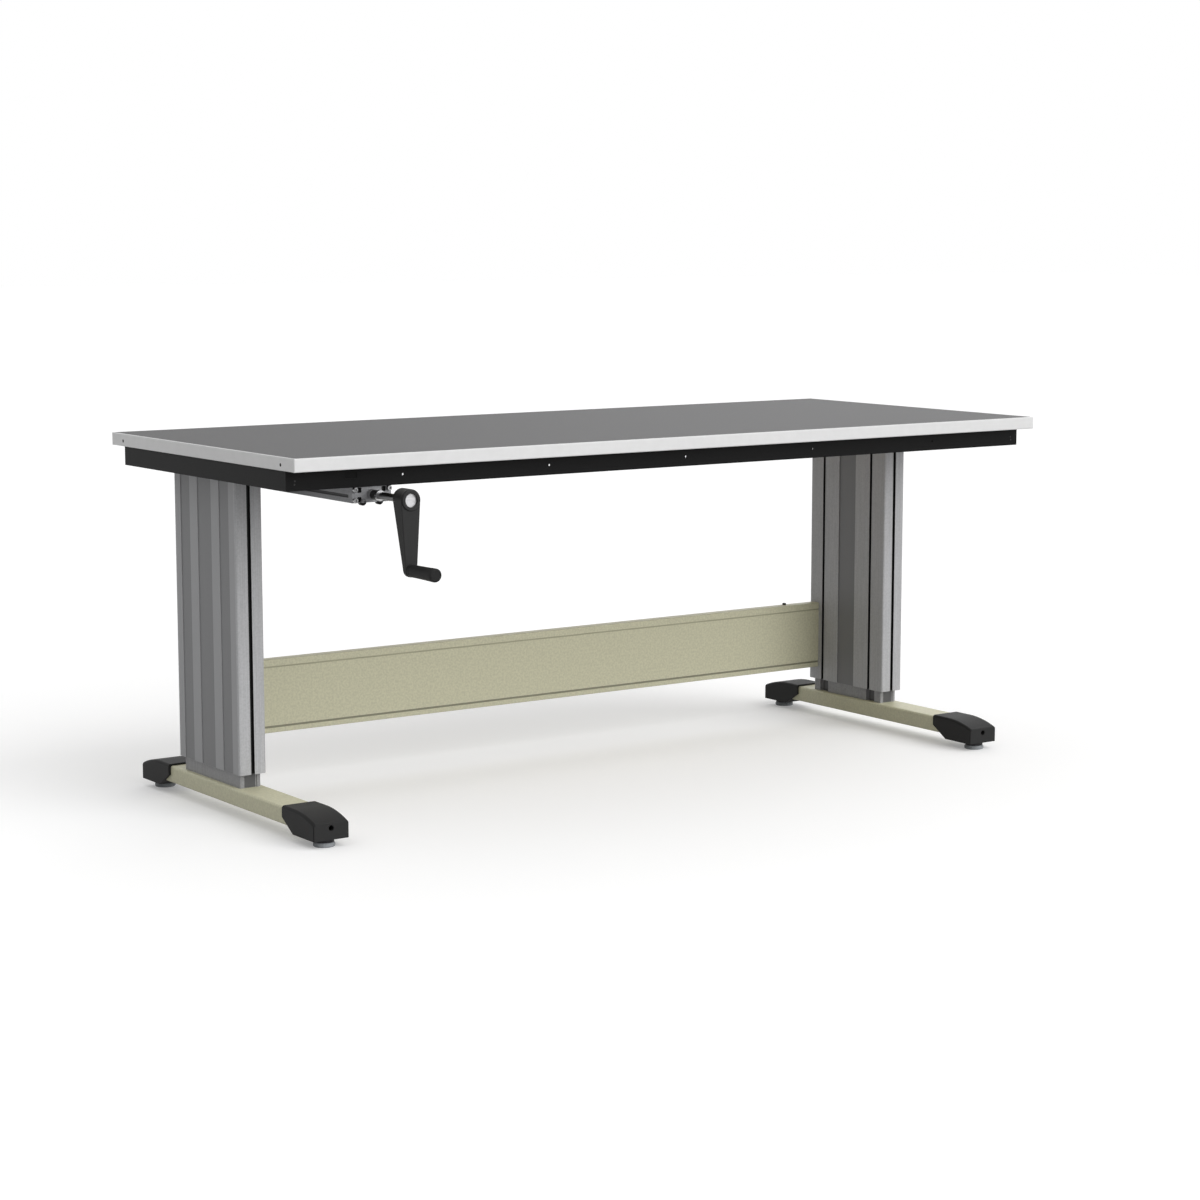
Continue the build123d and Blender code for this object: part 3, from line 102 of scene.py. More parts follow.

# What is left of the colour where shade is painted, in the order of each list of painted shade
COLUMN_SHADES = (0.8, 0.5, 0.46, 0.04, 0.04)
RELIEF_SHADE = 0.3
LINE_SHADES = (0.7, 0.42)
PUMP_SLOT_SHADE = 0.12
PLATE_SHADE = 0.05
DOME_SHADE = 0.04
CRANK_SHADES = (0.4, 0.12, 0.35)
CAP_EDGE_SHADE = 0.5
RECESS_SHADE = 0.5

# Screws, in metres; the crown and its edge shape the head's top
SCREW_SIZES = (
    "Head Radius", "Head Height", "Crown", "Edge",
    "Socket Radius", "Socket Depth", "Shank Radius", "Shank Length",
)
SCREW_KINDS = {
    kind: dict(zip(SCREW_SIZES, sizes))
    for kind, *sizes in (
        ("band_pin", 0.0032, 0.0002, 0.4, 3.0, 0.0012, 0.0001, 0.0014, 0.002),
        ("corner_rivet", 0.0019, 0.0007, 0.85, 2.0, 0.0006, 0.0003, 0.0012, 0.002),
        ("lip_screw", 0.0046, 0.0028, 0.7, 3.0, 0.002, 0.0014, 0.0019, 0.0038),
        ("arm_bolt", 0.0065, 0.008, 0.16, 14.0, 0.0034, 0.004, 0.004, 0.0255),
        ("end_bolt", 0.0065, 0.008, 0.16, 14.0, 0.0034, 0.004, 0.004, 0.009),
        ("set_screw", 0.0024, 0.0008, 0.3, 3.0, 0.0014, 0.0007, 0.0024, 0.0106),
        ("front_cap", 0.005, 0.006, 0.2, 12.0, 0.0029, 0.003, 0.0025, 0.0195),
        ("rear_cap", 0.005, 0.006, 0.2, 12.0, 0.0029, 0.003, 0.0025, 0.0415),
        ("dome", 0.006, 0.006, 0.9, 2.4, 0.0022, 0.0024, 0.0025, 0.008),
    )
}

# Places of the small hardware, in metres
BAND_PIN_LEVEL = 0.43  # share of the band's height
CORNER_RIVETS = ((0.0, 0.0185), (0.001, 0.0118))  # outwards and up
LIP_SCREW_INSET = 0.0075
LIP_SCREW_STEPS = range(-2, 3)
HANGER_SCREW_INSET = 0.012
HANGER_SCREW_FORWARD = 0.011
LIP_DROP = 0.004
ARM_WALL = 0.004
SET_SCREW_SINK = 0.0012

# Levelling pad and turning grip
PAD_TOP_CURVE = 7.0
PAD_FOOT_CURVE = 12.0
PAD_FOOT_EASING = 0.5
GRIP_PIN_GAP = 0.00005
GRIP_END_WALL = 0.006
GRIP_DISH = 0.0007
GRIP_POLE = 0.0001
# (distance from the neck or the tip, distance inside the widest radius)
GRIP_NECK = (
    (0.0, 0.0022), (0.0004, 0.0014), (0.0012, 0.001), (0.0052, 0.0009), (0.0056, 0.0016),
    (0.0066, 0.0016), (0.007, 0.001), (0.03, 0.0009), (0.055, 0.0005),
)
GRIP_TIP = (
    (0.01, 0.00005), (0.004, 0.0), (0.0022, 0.0003), (0.001, 0.001), (0.0003, 0.0021),
    (0.0, 0.0032), (0.0001, 0.0036), (0.0007, 0.0039),
)

# Lamps: setting that gives the strength, direction to the lamp, spread in degrees
LAMPS = (
    ("key", (0.3, -0.85, 0.62), 55.0),
    ("fill", (0.3, -0.9, 0.12), 40.0),
    ("top", (0.05, 0.1, 1.0), 110.0),
    ("rim", (0.75, 0.6, 0.35), 40.0),
)


class Value:
    """One output in a node tree. Arithmetic on it adds Math nodes."""

    def __init__(self, graph, socket):
        self.graph = graph
        self.socket = socket

    def math(self, operation, first, second=0.0):
        return self.graph.node("ShaderNodeMath", {"operation": operation}, {0: first, 1: second})

    def __add__(self, other):
        return self.math("ADD", self, other)

    __radd__ = __add__

    def __sub__(self, other):
        return self.math("SUBTRACT", self, other)

    def __rsub__(self, other):
        return self.math("SUBTRACT", other, self)

    def __mul__(self, other):
        return self.math("MULTIPLY", self, other)

    __rmul__ = __mul__

    def __truediv__(self, other):
        return self.math("DIVIDE", self, other)

    def __rtruediv__(self, other):
        return self.math("DIVIDE", other, self)

    def __pow__(self, other):
        return self.math("POWER", self, other)

    def __abs__(self):
        return self.math("ABSOLUTE", self)


class Graph:
    """A node tree that is written as expressions."""

    def __init__(self, tree):
        self.tree = tree

    def node(self, kind, settings=None, sockets=None, output=0):
        """Add a node: its settings first, then the values or links of its sockets."""
        made = self.tree.nodes.new(kind)
        for name, setting in (settings or {}).items():
            setattr(made, name, setting)
        for name, value in (sockets or {}).items():
            socket = made.inputs[name]
            for part in value if isinstance(value, list) else [value]:
                if isinstance(part, Value):
                    self.tree.links.new(part.socket, socket)
                else:
                    socket.default_value = part
        return Value(self, made.outputs[output])

    def close(self, kind, socket, value):
        """Link a value to the tree's own output."""
        made = self.tree.nodes.new(kind)
        self.tree.links.new(value.socket, made.inputs[socket])

    def combine(self, x=0.0, y=0.0, z=0.0):
        return self.node("ShaderNodeCombineXYZ", {}, {"X": x, "Y": y, "Z": z})

    def separate(self, vector):
        parts = self.node("ShaderNodeSeparateXYZ", {}, {"Vector": vector})
        return [Value(self, socket) for socket in parts.socket.node.outputs]


class Finish(Graph):
    """A procedural surface finish, patterned in the desk's own coordinates."""

    def __init__(self, name):
        self.material = bpy.data.materials.new(name)
        self.material.use_nodes = True
        super().__init__(self.material.node_tree)
        self.tree.nodes.clear()
        self.place = self.node("ShaderNodeTexCoord", output="Object")

    def noise(self, scale, detail=2.0, stretch=(1.0, 1.0, 1.0)):
        """Soft noise from 0 to 1, with scale in waves per metre."""
        sockets = {0: self.place, 1: stretch}
        place = self.node("ShaderNodeVectorMath", {"operation": "MULTIPLY"}, sockets)
        sockets = {"Vector": place, "Scale": scale, "Detail": detail}
        return self.node("ShaderNodeTexNoise", {}, sockets)

    def cells(self, scale, output="Distance"):
        """Many scattered points: the distance to the nearest, or its own colour."""
        sockets = {"Vector": self.place, "Scale": scale}
        return self.node("ShaderNodeTexVoronoi", {}, sockets, output)

    def steps(self, value, low, high):
        """A mask that rises from 0 to 1 as the value goes from low to high."""
        settings = {"interpolation_type": "SMOOTHSTEP"}
        sockets = {"Value": value, "From Min": low, "From Max": high}
        return self.node("ShaderNodeMapRange", settings, sockets)

    def above(self, value, low, soft=MARK_EDGE):
        """A mask that is 1 where the value is over low."""
        return self.steps(value, low - soft, low + soft)

    def below(self, value, high, soft=MARK_EDGE):
        """A mask that is 1 where the value is under high."""
        return self.steps(value, high + soft, high - soft)

    def within(self, value, low, high, soft=MARK_EDGE):
        """A mask that is 1 where the value lies between low and high."""
        return self.above(value, low, soft) * self.below(value, high, soft)

    def mix(self, share, first, second):
        """A colour between two colours."""
        sockets = {0: share, 6: opaque(first), 7: opaque(second)}
        return self.node("ShaderNodeMix", {"data_type": "RGBA"}, sockets, 2)

    def between(self, share, colour, dark, light):
        """A colour between a darker and a lighter shade of one colour."""
        return self.mix(share, shade(colour, dark), shade(colour, light))

    def wear_and_shade(self, plain, colour, share, factor):
        """Take the plain colour towards another shade where the share is high: random tone, wear
        and dust where the share is noise, painted shade where it is a mask.
        """
        return self.mix(share, plain, shade(colour, factor))

    def bump(self, height, depth, strength):
        sockets = {"Height": height, "Distance": depth, "Strength": strength}
        return self.node("ShaderNodeBump", {}, sockets)

    def surface(self, **sockets):
        """Close the tree with the shader and give the material."""
        named = {name.replace("_", " "): value for name, value in sockets.items()}
        shader = self.node("ShaderNodeBsdfPrincipled", {}, named)
        self.close("ShaderNodeOutputMaterial", "Surface", shader)
        return self.material


class Growth(Graph):
    """A geometry tree that grows one shape at each of a mesh's points."""

    def __init__(self, name, sizes):
        super().__init__(bpy.data.node_groups.new(name, "GeometryNodeTree"))
        face = self.tree.interface
        face.new_socket(name="Points", in_out="INPUT", socket_type="NodeSocketGeometry")
        for label, default in sizes.items():
            socket = face.new_socket(name=label, in_out="INPUT", socket_type="NodeSocketFloat")
            socket.default_value = default
        face.new_socket(name="Facing", in_out="INPUT", socket_type="NodeSocketVector")
        face.new_socket(name="Finish", in_out="INPUT", socket_type="NodeSocketMaterial")
        face.new_socket(name="Shapes", in_out="OUTPUT", socket_type="NodeSocketGeometry")
        self.given = self.tree.nodes.new("NodeGroupInput")

    def size(self, label):
        return Value(self, self.given.outputs[label])

    def cylinder(self, radius, depth, lift, sides, rings=1):
        """A closed cylinder along Z, raised by lift."""
        sockets = {"Vertices": sides, "Side Segments": rings, "Radius": radius, "Depth": depth}
        mesh = self.node("GeometryNodeMeshCylinder", {"fill_type": "NGON"}, sockets, "Mesh")
        sockets = {"Geometry": mesh, "Translation": self.combine(z=lift)}
        return self.node("GeometryNodeTransform", {}, sockets)

    def reshaped(self, blank, x, y, z):
        """The blank with each of its points at a new place."""
        sockets = {"Geometry": blank, "Position": self.combine(x, y, z)}
        return self.node("GeometryNodeSetPosition", {}, sockets)

    def at_points(self, shape):
        """Put the shape at every point, turned to face one way, and close the tree."""
        turn = self.node("FunctionNodeEulerToRotation", {}, {"Euler": self.size("Facing")})
        sockets = {"Points": self.size("Points"), "Instance": shape, "Rotation": turn}
        copies = self.node("GeometryNodeInstanceOnPoints", {}, sockets)
        solid = self.node("GeometryNodeRealizeInstances", {}, {"Geometry": copies})
        sockets = {"Geometry": solid, "Material": self.size("Finish")}
        self.close("NodeGroupOutput", "Shapes", self.node("GeometryNodeSetMaterial", {}, sockets))
        return self.tree


def opaque(colour):
    """A colour as four numbers; a linked colour as it is."""
    return colour if isinstance(colour, Value) else (*colour[:3], 1.0)


def shade(colour, factor):
    """The same colour, lighter or darker."""
    return tuple(min(1.0, channel * factor) for channel in colour[:3])


# Finishes


def with_painted_shade(finish, plain, colour, painted_shade):
    """Paint shade into a colour: darken it where the list of painted shade gives (mask, factor),
    in grooves, slots, recesses, shaded sides and dark reflections.
    """
    for mask, factor in painted_shade(finish) if painted_shade else ():
        plain = finish.wear_and_shade(plain, colour, mask, factor)
    return plain


def powder_coat(name, colour, grain, contrast, roughness, specular=0.4, painted_shade=None):
    """Baked paint: a fine orange-peel skin over a slightly mottled colour."""
    finish = Finish(name)
    mottle = finish.steps(finish.noise(1.0 / grain, detail=3.0), low=0.32, high=0.68)
    cloud = finish.noise(3.0)
    skin = finish.noise(900.0)
    mottled = finish.between(mottle, colour, dark=1.0 - contrast, light=1.0 + contrast)
    aged = finish.wear_and_shade(mottled, colour, share=cloud * 0.12, factor=0.82)
    return finish.surface(
        Base_Color=with_painted_shade(finish, aged, colour, painted_shade),
        Specular_IOR_Level=specular,
        Roughness=roughness + 0.16 * skin,
        Normal=finish.bump(skin + 0.6 * mottle, depth=0.0002, strength=0.3),
    )


def drawn_metal(name, colour, along, metallic, roughness, contrast=0.1, painted_shade=None):
    """Extruded or drawn metal, with fine die lines along one axis."""
    finish = Finish(name)
    stretch = tuple(0.012 if axis == along else 1.0 for axis in "XYZ")
    lines = finish.noise(650.0, detail=3.0, stretch=stretch)
    grain = finish.noise(260.0, detail=3.0)
    cloud = finish.noise(5.0)
    tone = finish.steps(0.55 * lines + 0.45 * grain, low=0.35, high=0.65)
    streaked = finish.between(tone, colour, dark=1.0 - contrast, light=1.0 + contrast)
    aged = finish.wear_and_shade(streaked, colour, share=cloud * 0.15, factor=0.85)
    return finish.surface(
        Base_Color=with_painted_shade(finish, aged, colour, painted_shade),
        Metallic=metallic,
        Specular_IOR_Level=0.35,
        Roughness=roughness + 0.14 * lines,
        Normal=finish.bump(lines, depth=0.00012, strength=0.22),
    )


def moulded(name, colour, grain, roughness, scuff=0.0, specular=0.18, painted_shade=None):
    """Moulded plastic with a spark-eroded grain and light handling marks."""
    finish = Finish(name)
    pebbles = finish.cells(1.0 / grain)
    cloud = finish.noise(14.0, detail=3.0)
    rubs = finish.noise(60.0, detail=5.0, stretch=(1.0, 0.35, 1.0))
    rubbed = finish.steps(rubs, low=0.6, high=0.78)
    plain = finish.between(cloud, colour, dark=0.9, light=1.1)
    scuffed = finish.wear_and_shade(plain, colour, share=rubbed * scuff, factor=2.4)
    return finish.surface(
        Base_Color=with_painted_shade(finish, scuffed, colour, painted_shade),
        Specular_IOR_Level=specular,
        Roughness=roughness + 0.12 * cloud,
        Normal=finish.bump(pebbles, depth=0.0002, strength=0.35),
    )


def polished(name, colour, roughness):
    """Plated, polished steel with faint turning marks and smears."""
    finish = Finish(name)
    turning = finish.noise(900.0, stretch=(0.2, 1.0, 0.2))
    smear = finish.noise(40.0, detail=3.0)
    return finish.surface(
        Base_Color=finish.between(smear, colour, dark=0.9, light=1.06),
        Metallic=1.0,
        Roughness=roughness + 0.1 * smear,
        Normal=finish.bump(turning, depth=0.00005, strength=0.2),
    )


def plated(name, colour, roughness):
    """Zinc-plated or blackened steel with a blotchy, matt skin."""
    finish = Finish(name)
    blotch = finish.noise(180.0, detail=4.0)
    skin = finish.noise(1200.0)
    return finish.surface(
        Base_Color=finish.between(blotch, colour, dark=0.82, light=1.12),
        Metallic=0.85,
        Roughness=roughness + 0.18 * blotch,
        Normal=finish.bump(skin, depth=0.00006, strength=0.3),
    )


def bolt_zinc(colours):
    """The one zinc finish of the columns' and the stretcher's bolts."""
    return bpy.data.materials.get("bolt_zinc") or plated("bolt_zinc", colours.zinc, roughness=0.34)


def laminate(name, colour, roughness):
    """Worktop laminate: a dense speckle under a fine satin texture."""
    finish = Finish(name)
    speck = finish.steps(finish.noise(420.0, detail=4.0), low=0.38, high=0.62)
    cloud = finish.noise(2.2)
    skin = finish.noise(1500.0)
    flecked = finish.between(speck, colour, dark=0.93, light=1.07)
    return finish.surface(
        Base_Color=finish.wear_and_shade(flecked, colour, share=cloud * 0.1, factor=0.88),
        Roughness=roughness + 0.14 * skin,
        Specular_IOR_Level=0.13,
        Normal=finish.bump(skin, depth=0.00008, strength=0.3),
    )


def chipboard(name, colour, roughness):
    """Pressed wood chips, as on the underside of the worktop."""
    finish = Finish(name)
    chip = finish.cells(260.0, output="Color")
    tone = finish.node("ShaderNodeSeparateColor", {}, {"Color": chip})
    dust = finish.noise(700.0, detail=3.0)
    chips = finish.between(tone, colour, dark=0.68, light=1.22)
    return finish.surface(
        Base_Color=finish.wear_and_shade(chips, colour, share=dust * 0.5, factor=0.95),
        Roughness=roughness + 0.2 * dust,
        Normal=finish.bump(tone + dust, depth=0.00025, strength=0.4),
    )


def around(place, margins):
    """A range with its two margins about a place."""
    return [place + margin for margin in margins]


def profile_place(finish, name):
    """A column profile's half sizes, and where a point lies on it: outwards and in depth."""
    low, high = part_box(name)
    middle = (low + high) / 2.0
    half, reach = (high - low).xy / 2.0
    x, y, _ = finish.separate(finish.place)
    return half, reach, abs(x) - middle.x, abs(y - middle.y)


def column_painted_shade(finish):
    """Painted shade on the outer column: its ridges on the outer sides, its shallow grooves and
    its T-slots are darkened.
    """
    half, reach, across, along = profile_place(finish, "outer_column_right")
    flat = finish.below(along, reach - COLUMN_ROUNDING)
    ridges = finish.below(half - across, RIDGE_DEPTH, FINE_EDGE) * flat
    outer = finish.within(half - across, *GROOVE_DEPTH, FINE_EDGE) * flat
    inner = finish.within(half + across, *CENTRE_GROOVE_DEPTH)
    centre = inner * finish.below(along, CENTRE_GROOVE_REACH)
    end_slot = finish.within(reach - along, *SLOT_DEPTH) * finish.below(abs(across), SLOT_REACH)
    beside = finish.below(abs(along - SLOT_OFFSET), SLOT_REACH)
    side_slot = finish.within(half + across, *SLOT_DEPTH) * beside
    return zip((ridges, outer, centre, end_slot, side_slot), COLUMN_SHADES)


def inner_column_painted_shade(finish):
    """Painted shade in the inner column's reliefs, which clear the outer column's slots."""
    half, reach, across, along = profile_place(finish, "inner_column_right")
    end = finish.within(reach - along, *SLOT_DEPTH) * finish.below(abs(across), RELIEF_REACH)
    beside = finish.below(abs(along - SLOT_OFFSET), RELIEF_REACH)
    side = finish.within(half + across, *SLOT_DEPTH) * beside
    return [(end, RELIEF_SHADE), (side, RELIEF_SHADE)]


def stretcher_painted_shade(finish):
    """Painted shade in the two lines along the stretcher's front."""
    low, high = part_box("stretcher")
    _, y, z = finish.separate(finish.place)
    sunk = finish.within(y - low.y, *LINE_DEPTH)
    upper = finish.within(high.z - z, *UPPER_LINE_DROP)
    lower = finish.within(z - low.z, *LOWER_LINE_RISE)
    return zip((sunk * upper, sunk * lower), LINE_SHADES)


def pump_body_painted_shade(finish):
    """Painted shade in the slot along each side of the pump."""
    low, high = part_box("pump_body")
    x, _, z = finish.separate(finish.place)
    across = abs(x - (low.x + high.x) / 2.0)
    slot = finish.within((high.x - low.x) / 2.0 - across, *PUMP_SLOT_DEPTH)
    return [(slot * finish.within(z - low.z, *PUMP_SLOT_RISE), PUMP_SLOT_SHADE)]


def pump_plate_painted_shade(finish):
    """Painted shade in the four pockets in the pump's front plate, and under its lugs."""
    low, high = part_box("pump_body")
    middle = (low + high) / 2.0
    x, y, z = finish.separate(finish.place)
    wide = finish.within(abs(x - middle.x), *POCKET_ACROSS)
    tall = finish.within(abs(z - middle.z), *POCKET_UP)
    pockets = finish.within(low.y - y, *POCKET_FORWARD) * wide * tall
    lugs = finish.above(low.z - z, LUG_DROP) * finish.above(low.y - y, LUG_FORWARD)
    return [(pockets, PLATE_SHADE), (lugs, PLATE_SHADE)]


def dome_painted_shade(finish):
    """A painted dark reflection and shade on the dome screws' lower halves, which stand below the
    pump.
    """
    z = finish.separate(finish.place)[2]
    return [(finish.above(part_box("pump_body")[0].z - z, DOME_DROP), DOME_SHADE)]


def crank_painted_shade(finish):
    """Painted shade on the arm's flanks, on the wall round the hub's disc and at the foot of the
    hub's boss.
    """
    arm_low, arm_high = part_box("crank_arm")
    disc_low, disc_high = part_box("crank_hub_cap")
    middle = (disc_low + disc_high) / 2.0
    disc = (disc_high.x - disc_low.x) / 2.0
    boss = (arm_high.x - arm_low.x) / 2.0 - BOSS_INSET
    x, y, z = finish.separate(finish.place)
    away = ((x - middle.x) * (x - middle.x) + (z - middle.z) * (z - middle.z)) ** 0.5
    sunk = finish.within(y, arm_low.y + DISC_WALL_START, disc_low.y)
    wall = finish.within(away, *around(disc, DISC_WALL)) * sunk
    foot = finish.within(y - arm_low.y, *BOSS_STEP_DEPTH)
    step = finish.within(away, *around(boss, BOSS_STEP)) * foot
    flank = finish.above(y - arm_low.y, FLANK_START, FLANK_EDGE)
    return zip((flank, wall, step), CRANK_SHADES)


def cap_painted_reflection(finish):
    """A painted dark reflection on the rounded edges of the foot caps, along the falling roof and
    up the nose.
    """
    low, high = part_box("foot_cap_front_right")
    rear_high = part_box("foot_cap_rear_right")[1]
    nose = (rear_high.y - low.y) / 2.0
    x, y, z = finish.separate(finish.place)
    inward = (high.x - low.x) / 2.0 - abs(abs(x) - (low.x + high.x) / 2.0)
    back = nose - abs(y - (low.y + rear_high.y) / 2.0)
    fall = high.z - low.z - CAP_FACE_HEIGHT
    radius = (CAP_FALL_LENGTH**2 + fall**2) / (2.0 * fall)
    run = back.math("MAXIMUM", CAP_FALL_LENGTH - back, 0.0)
    roof = high.z - radius + (radius**2 - run * run) ** 0.5
    along = finish.within(inward, *CAP_ROUND, CAP_ROUND_EDGE)
    along = along * finish.within(roof - z, *CAP_ROUND, CAP_ROUND_EDGE)
    up = finish.within(inward, *CAP_NOSE_ROUND, CAP_NOSE_EDGE)
    up = up * finish.within(back, *CAP_NOSE_ROUND, CAP_NOSE_EDGE)
    return [(along, CAP_EDGE_SHADE), (up, CAP_EDGE_SHADE)]


def apron_painted_shade(finish):
    """Painted shade in the shallow recess in the front apron."""
    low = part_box("apron_front")[0]
    _, y, z = finish.separate(finish.place)
    sunk = finish.within(y - low.y, *RECESS_DEPTH)
    return [(sunk * finish.within(z - low.z, *RECESS_RISE), RECESS_SHADE)]


def dress(material, *names):
    """Give CAD nodes a finish."""
    for name in names:
        mesh = NODES[name].data
        mesh.materials.clear()
        mesh.materials.append(material)


def pair(name):
    """The names of a left and a right piece."""
    return [f"{name}_{side}" for side in SIDES]


# Shapes


def grown(context, name, tree, points, facing, material, sizes):
    """Grow a tree's shape at the points and keep the result as a plain mesh."""
    seeds = bpy.data.meshes.new(name + "_points")
    seeds.from_pydata(points, [], [])
    piece = bpy.data.objects.new(name, seeds)
    context.scene.collection.objects.link(piece)
    modifier = piece.modifiers.new("grow", "NODES")
    modifier.node_group = tree
    given = {**sizes, "Facing": facing, "Finish": material}
    for item in tree.interface.items_tree:
        if item.in_out == "INPUT" and item.name in given:
            modifier[item.identifier] = given[item.name]
    context.view_layer.update()
    depsgraph = context.evaluated_depsgraph_get()
    evaluated = piece.evaluated_get(depsgraph)
    mesh = bpy.data.meshes.new_from_object(evaluated, depsgraph=depsgraph)
    piece.modifiers.clear()
    piece.data = mesh
    bpy.data.meshes.remove(seeds)
    mesh.name = name
    smooth(mesh)
    return piece


def screws(context, name, material, *groups):
    """Screws as one piece, from groups of (kind, places, facing)."""
    tree = bpy.data.node_groups.get("turned_screw") or screw_tree()
    whole = bmesh.new()
    for count, (kind, points, facing) in enumerate(groups):
        sizes = SCREW_KINDS[kind]
        part = grown(context, f"{name}_{count}", tree, points, facing, material, sizes)
        whole.from_mesh(part.data)
        bpy.data.objects.remove(part)
    for face in whole.faces:
        face.material_index = 0
    return placed(context, name, whole, material)


def turned(context, name, profile, centre, material, sides):
    """A closed ring profile of (y, radius) pairs, turned about a line along Y."""
    shape = bmesh.new()
    rings = []
    for y, radius in profile:
        ring = []
        for step in range(sides):
            angle = 2.0 * math.pi * step / sides
            across = (radius * math.cos(angle), 0.0, radius * math.sin(angle))
            ring.append(shape.verts.new(Vector((centre[0], y, centre[1])) + Vector(across)))
        rings.append(ring)
    for ring, following in zip(rings, rings[1:] + rings[:1]):
        for step in range(sides):
            after = (step + 1) % sides
            shape.faces.new((ring[step], ring[after], following[after], following[step]))
    bmesh.ops.recalc_face_normals(shape, faces=shape.faces)
    return placed(context, name, shape, material)


def placed(context, name, shape, material):
    """A finished shape as a piece of the scene."""
    mesh = bpy.data.meshes.new(name)
    shape.to_mesh(mesh)
    shape.free()
    mesh.materials.append(material)
    smooth(mesh)
    piece = bpy.data.objects.new(name, mesh)
    context.scene.collection.objects.link(piece)
    return piece


def smooth(mesh):
    """Round shading, with a crease at every real edge."""
    mesh.shade_smooth()
    mesh.set_sharp_from_angle(angle=math.radians(32.0))


def screw_tree():
    """A turned screw: crowned head, hexagon socket and plain shank."""
    growth = Growth("turned_screw", SCREW_KINDS["front_cap"])
    height = growth.size("Head Height")
    blank = growth.cylinder(growth.size("Head Radius"), height, height * 0.5, sides=32, rings=10)
    x, y, z = growth.separate(growth.node("GeometryNodeInputPosition"))
    narrowing = (1.0 - growth.size("Crown") * (z / height) ** growth.size("Edge")) ** 0.5
    head = growth.reshaped(blank, x * narrowing, y * narrowing, z)
    depth = growth.size("Socket Depth")
    key = growth.cylinder(growth.size("Socket Radius"), depth * 2.0, height, sides=6)
    settings = {"operation": "DIFFERENCE", "solver": "EXACT"}
    socketed = growth.node("GeometryNodeMeshBoolean", settings, {"Mesh 1": head, "Mesh 2": key})
    length = growth.size("Shank Length")
    shank = growth.cylinder(growth.size("Shank Radius"), length, length * -0.5, sides=20)
    whole = growth.node("GeometryNodeJoinGeometry", {}, {"Geometry": [socketed, shank]})
    return growth.at_points(whole)


def pad_tree():
    """A round levelling pad with a fluted rim and eased edges."""
    sizes = {"Radius": 0.02, "Height": 0.009, "Flutes": 44.0, "Flute Depth": 0.02, "Easing": 0.14}
    growth = Growth("fluted_pad", sizes)
    height = growth.size("Height")
    blank = growth.cylinder(growth.size("Radius"), height, height * 0.5, sides=264, rings=12)
    x, y, z = growth.separate(growth.node("GeometryNodeInputPosition"))
    wave = x.math("COSINE", x.math("ARCTAN2", y, x) * growth.size("Flutes"))
    rise = z / height
    easing = growth.size("Easing")
    top = 1.0 - easing * rise**PAD_TOP_CURVE
    foot = 1.0 - easing * PAD_FOOT_EASING * (1.0 - rise) ** PAD_FOOT_CURVE
    ribbed = top * foot - growth.size("Flute Depth") * (0.5 + 0.5 * wave)
    return growth.at_points(growth.reshaped(blank, x * ribbed, y * ribbed, z))


# Settings


def colour_prop(label, description, default):
    return bpy.props.FloatVectorProperty(
        name=label, description=description, default=default, size=3, min=0.0, max=1.0,
        subtype="COLOR",
    )


def number_prop(label, description, default, **more):
    return bpy.props.FloatProperty(
        name=label, description=description, default=default, **{"min": 0.0, **more}
    )


def length_prop(label, description, default):
    return number_prop(label, description, default, unit="LENGTH", precision=4)


class DeskFinishes(bpy.types.PropertyGroup):
    """Colours of the desk's finishes."""

    laminate: colour_prop("Laminate", "Face of the worktop", (0.075, 0.075, 0.0762))
    band: colour_prop("Edge band", "Trim round the worktop", (0.67, 0.67, 0.67))
    board: colour_prop("Board", "Underside of the worktop", (0.4, 0.31, 0.2))
    black_steel: colour_prop(
        "Black steel", "Apron frame, arms and hanger", (0.0056, 0.0056, 0.0058)
    )
    column: colour_prop("Column", "Outer column profiles", (0.405, 0.407, 0.416))
    inner_column: colour_prop("Inner column", "Inner column profiles", (0.27, 0.27, 0.275))
    cream_steel: colour_prop("Cream steel", "Stretcher and foot tubes", (0.575, 0.56, 0.4))
    cap: colour_prop("Cap", "Foot caps and plug", (0.0215, 0.0215, 0.0215))
    pad: colour_prop("Pad", "Levelling pads", (0.29, 0.305, 0.32))
    pump: colour_prop("Pump", "Pump body and its ends", (0.21, 0.212, 0.22))
    chrome: colour_prop("Chrome", "Shaft, collar and cap screws", (0.66, 0.66, 0.67))
    zinc: colour_prop("Zinc", "Plated bolts", (0.5, 0.5, 0.51))
    crank: colour_prop("Crank", "Crank arm", (0.018, 0.018, 0.018))
    grip: colour_prop("Grip", "Turning grip", (0.01, 0.01, 0.01))


class DeskDetails(bpy.types.PropertyGroup):
    """Sizes of the patterns and the small hardware."""

    paint_grain: length_prop("Paint grain", "Size of the mottling in the paint", 0.0045)
    plastic_grain: length_prop("Plastic grain", "Size of the moulded grain", 0.0009)
    plate_screw_across: length_prop(
        "Plate screws across", "Between the pump's cap screws in X", 0.073
    )
    plate_screw_up: length_prop("Plate screws up", "Between the pump's cap screws in Z", 0.02)
    lug_screw_across: length_prop("Lug screws across", "Between the two dome screws in X", 0.036)
    lug_screw_rise: length_prop("Lug screw rise", "Dome screws above the pump's underside", 0.0015)
    head_bolt_across: length_prop(
        "Head bolts across", "Between the column head's bolts in X", 0.024
    )
    head_bolt_along: length_prop("Head bolts along", "Between the column head's bolts in Y", 0.1)
    head_screw_drop: length_prop("Head screw drop", "Set screws below the column's top", 0.006)
    stretcher_bolt_up: length_prop("Stretcher bolts up", "Between the stretcher's bolts in Z", 0.1)
    corner_rivet_inset: length_prop(
        "Corner rivet inset", "Apron rivets from the worktop's end", 0.0224
    )
    band_pin_inset: length_prop("Band pin inset", "Band pins from the worktop's long edges", 0.052)
    lip_screw_pitch: length_prop("Lip screw pitch", "Between the screws along an arm's lip", 0.13)


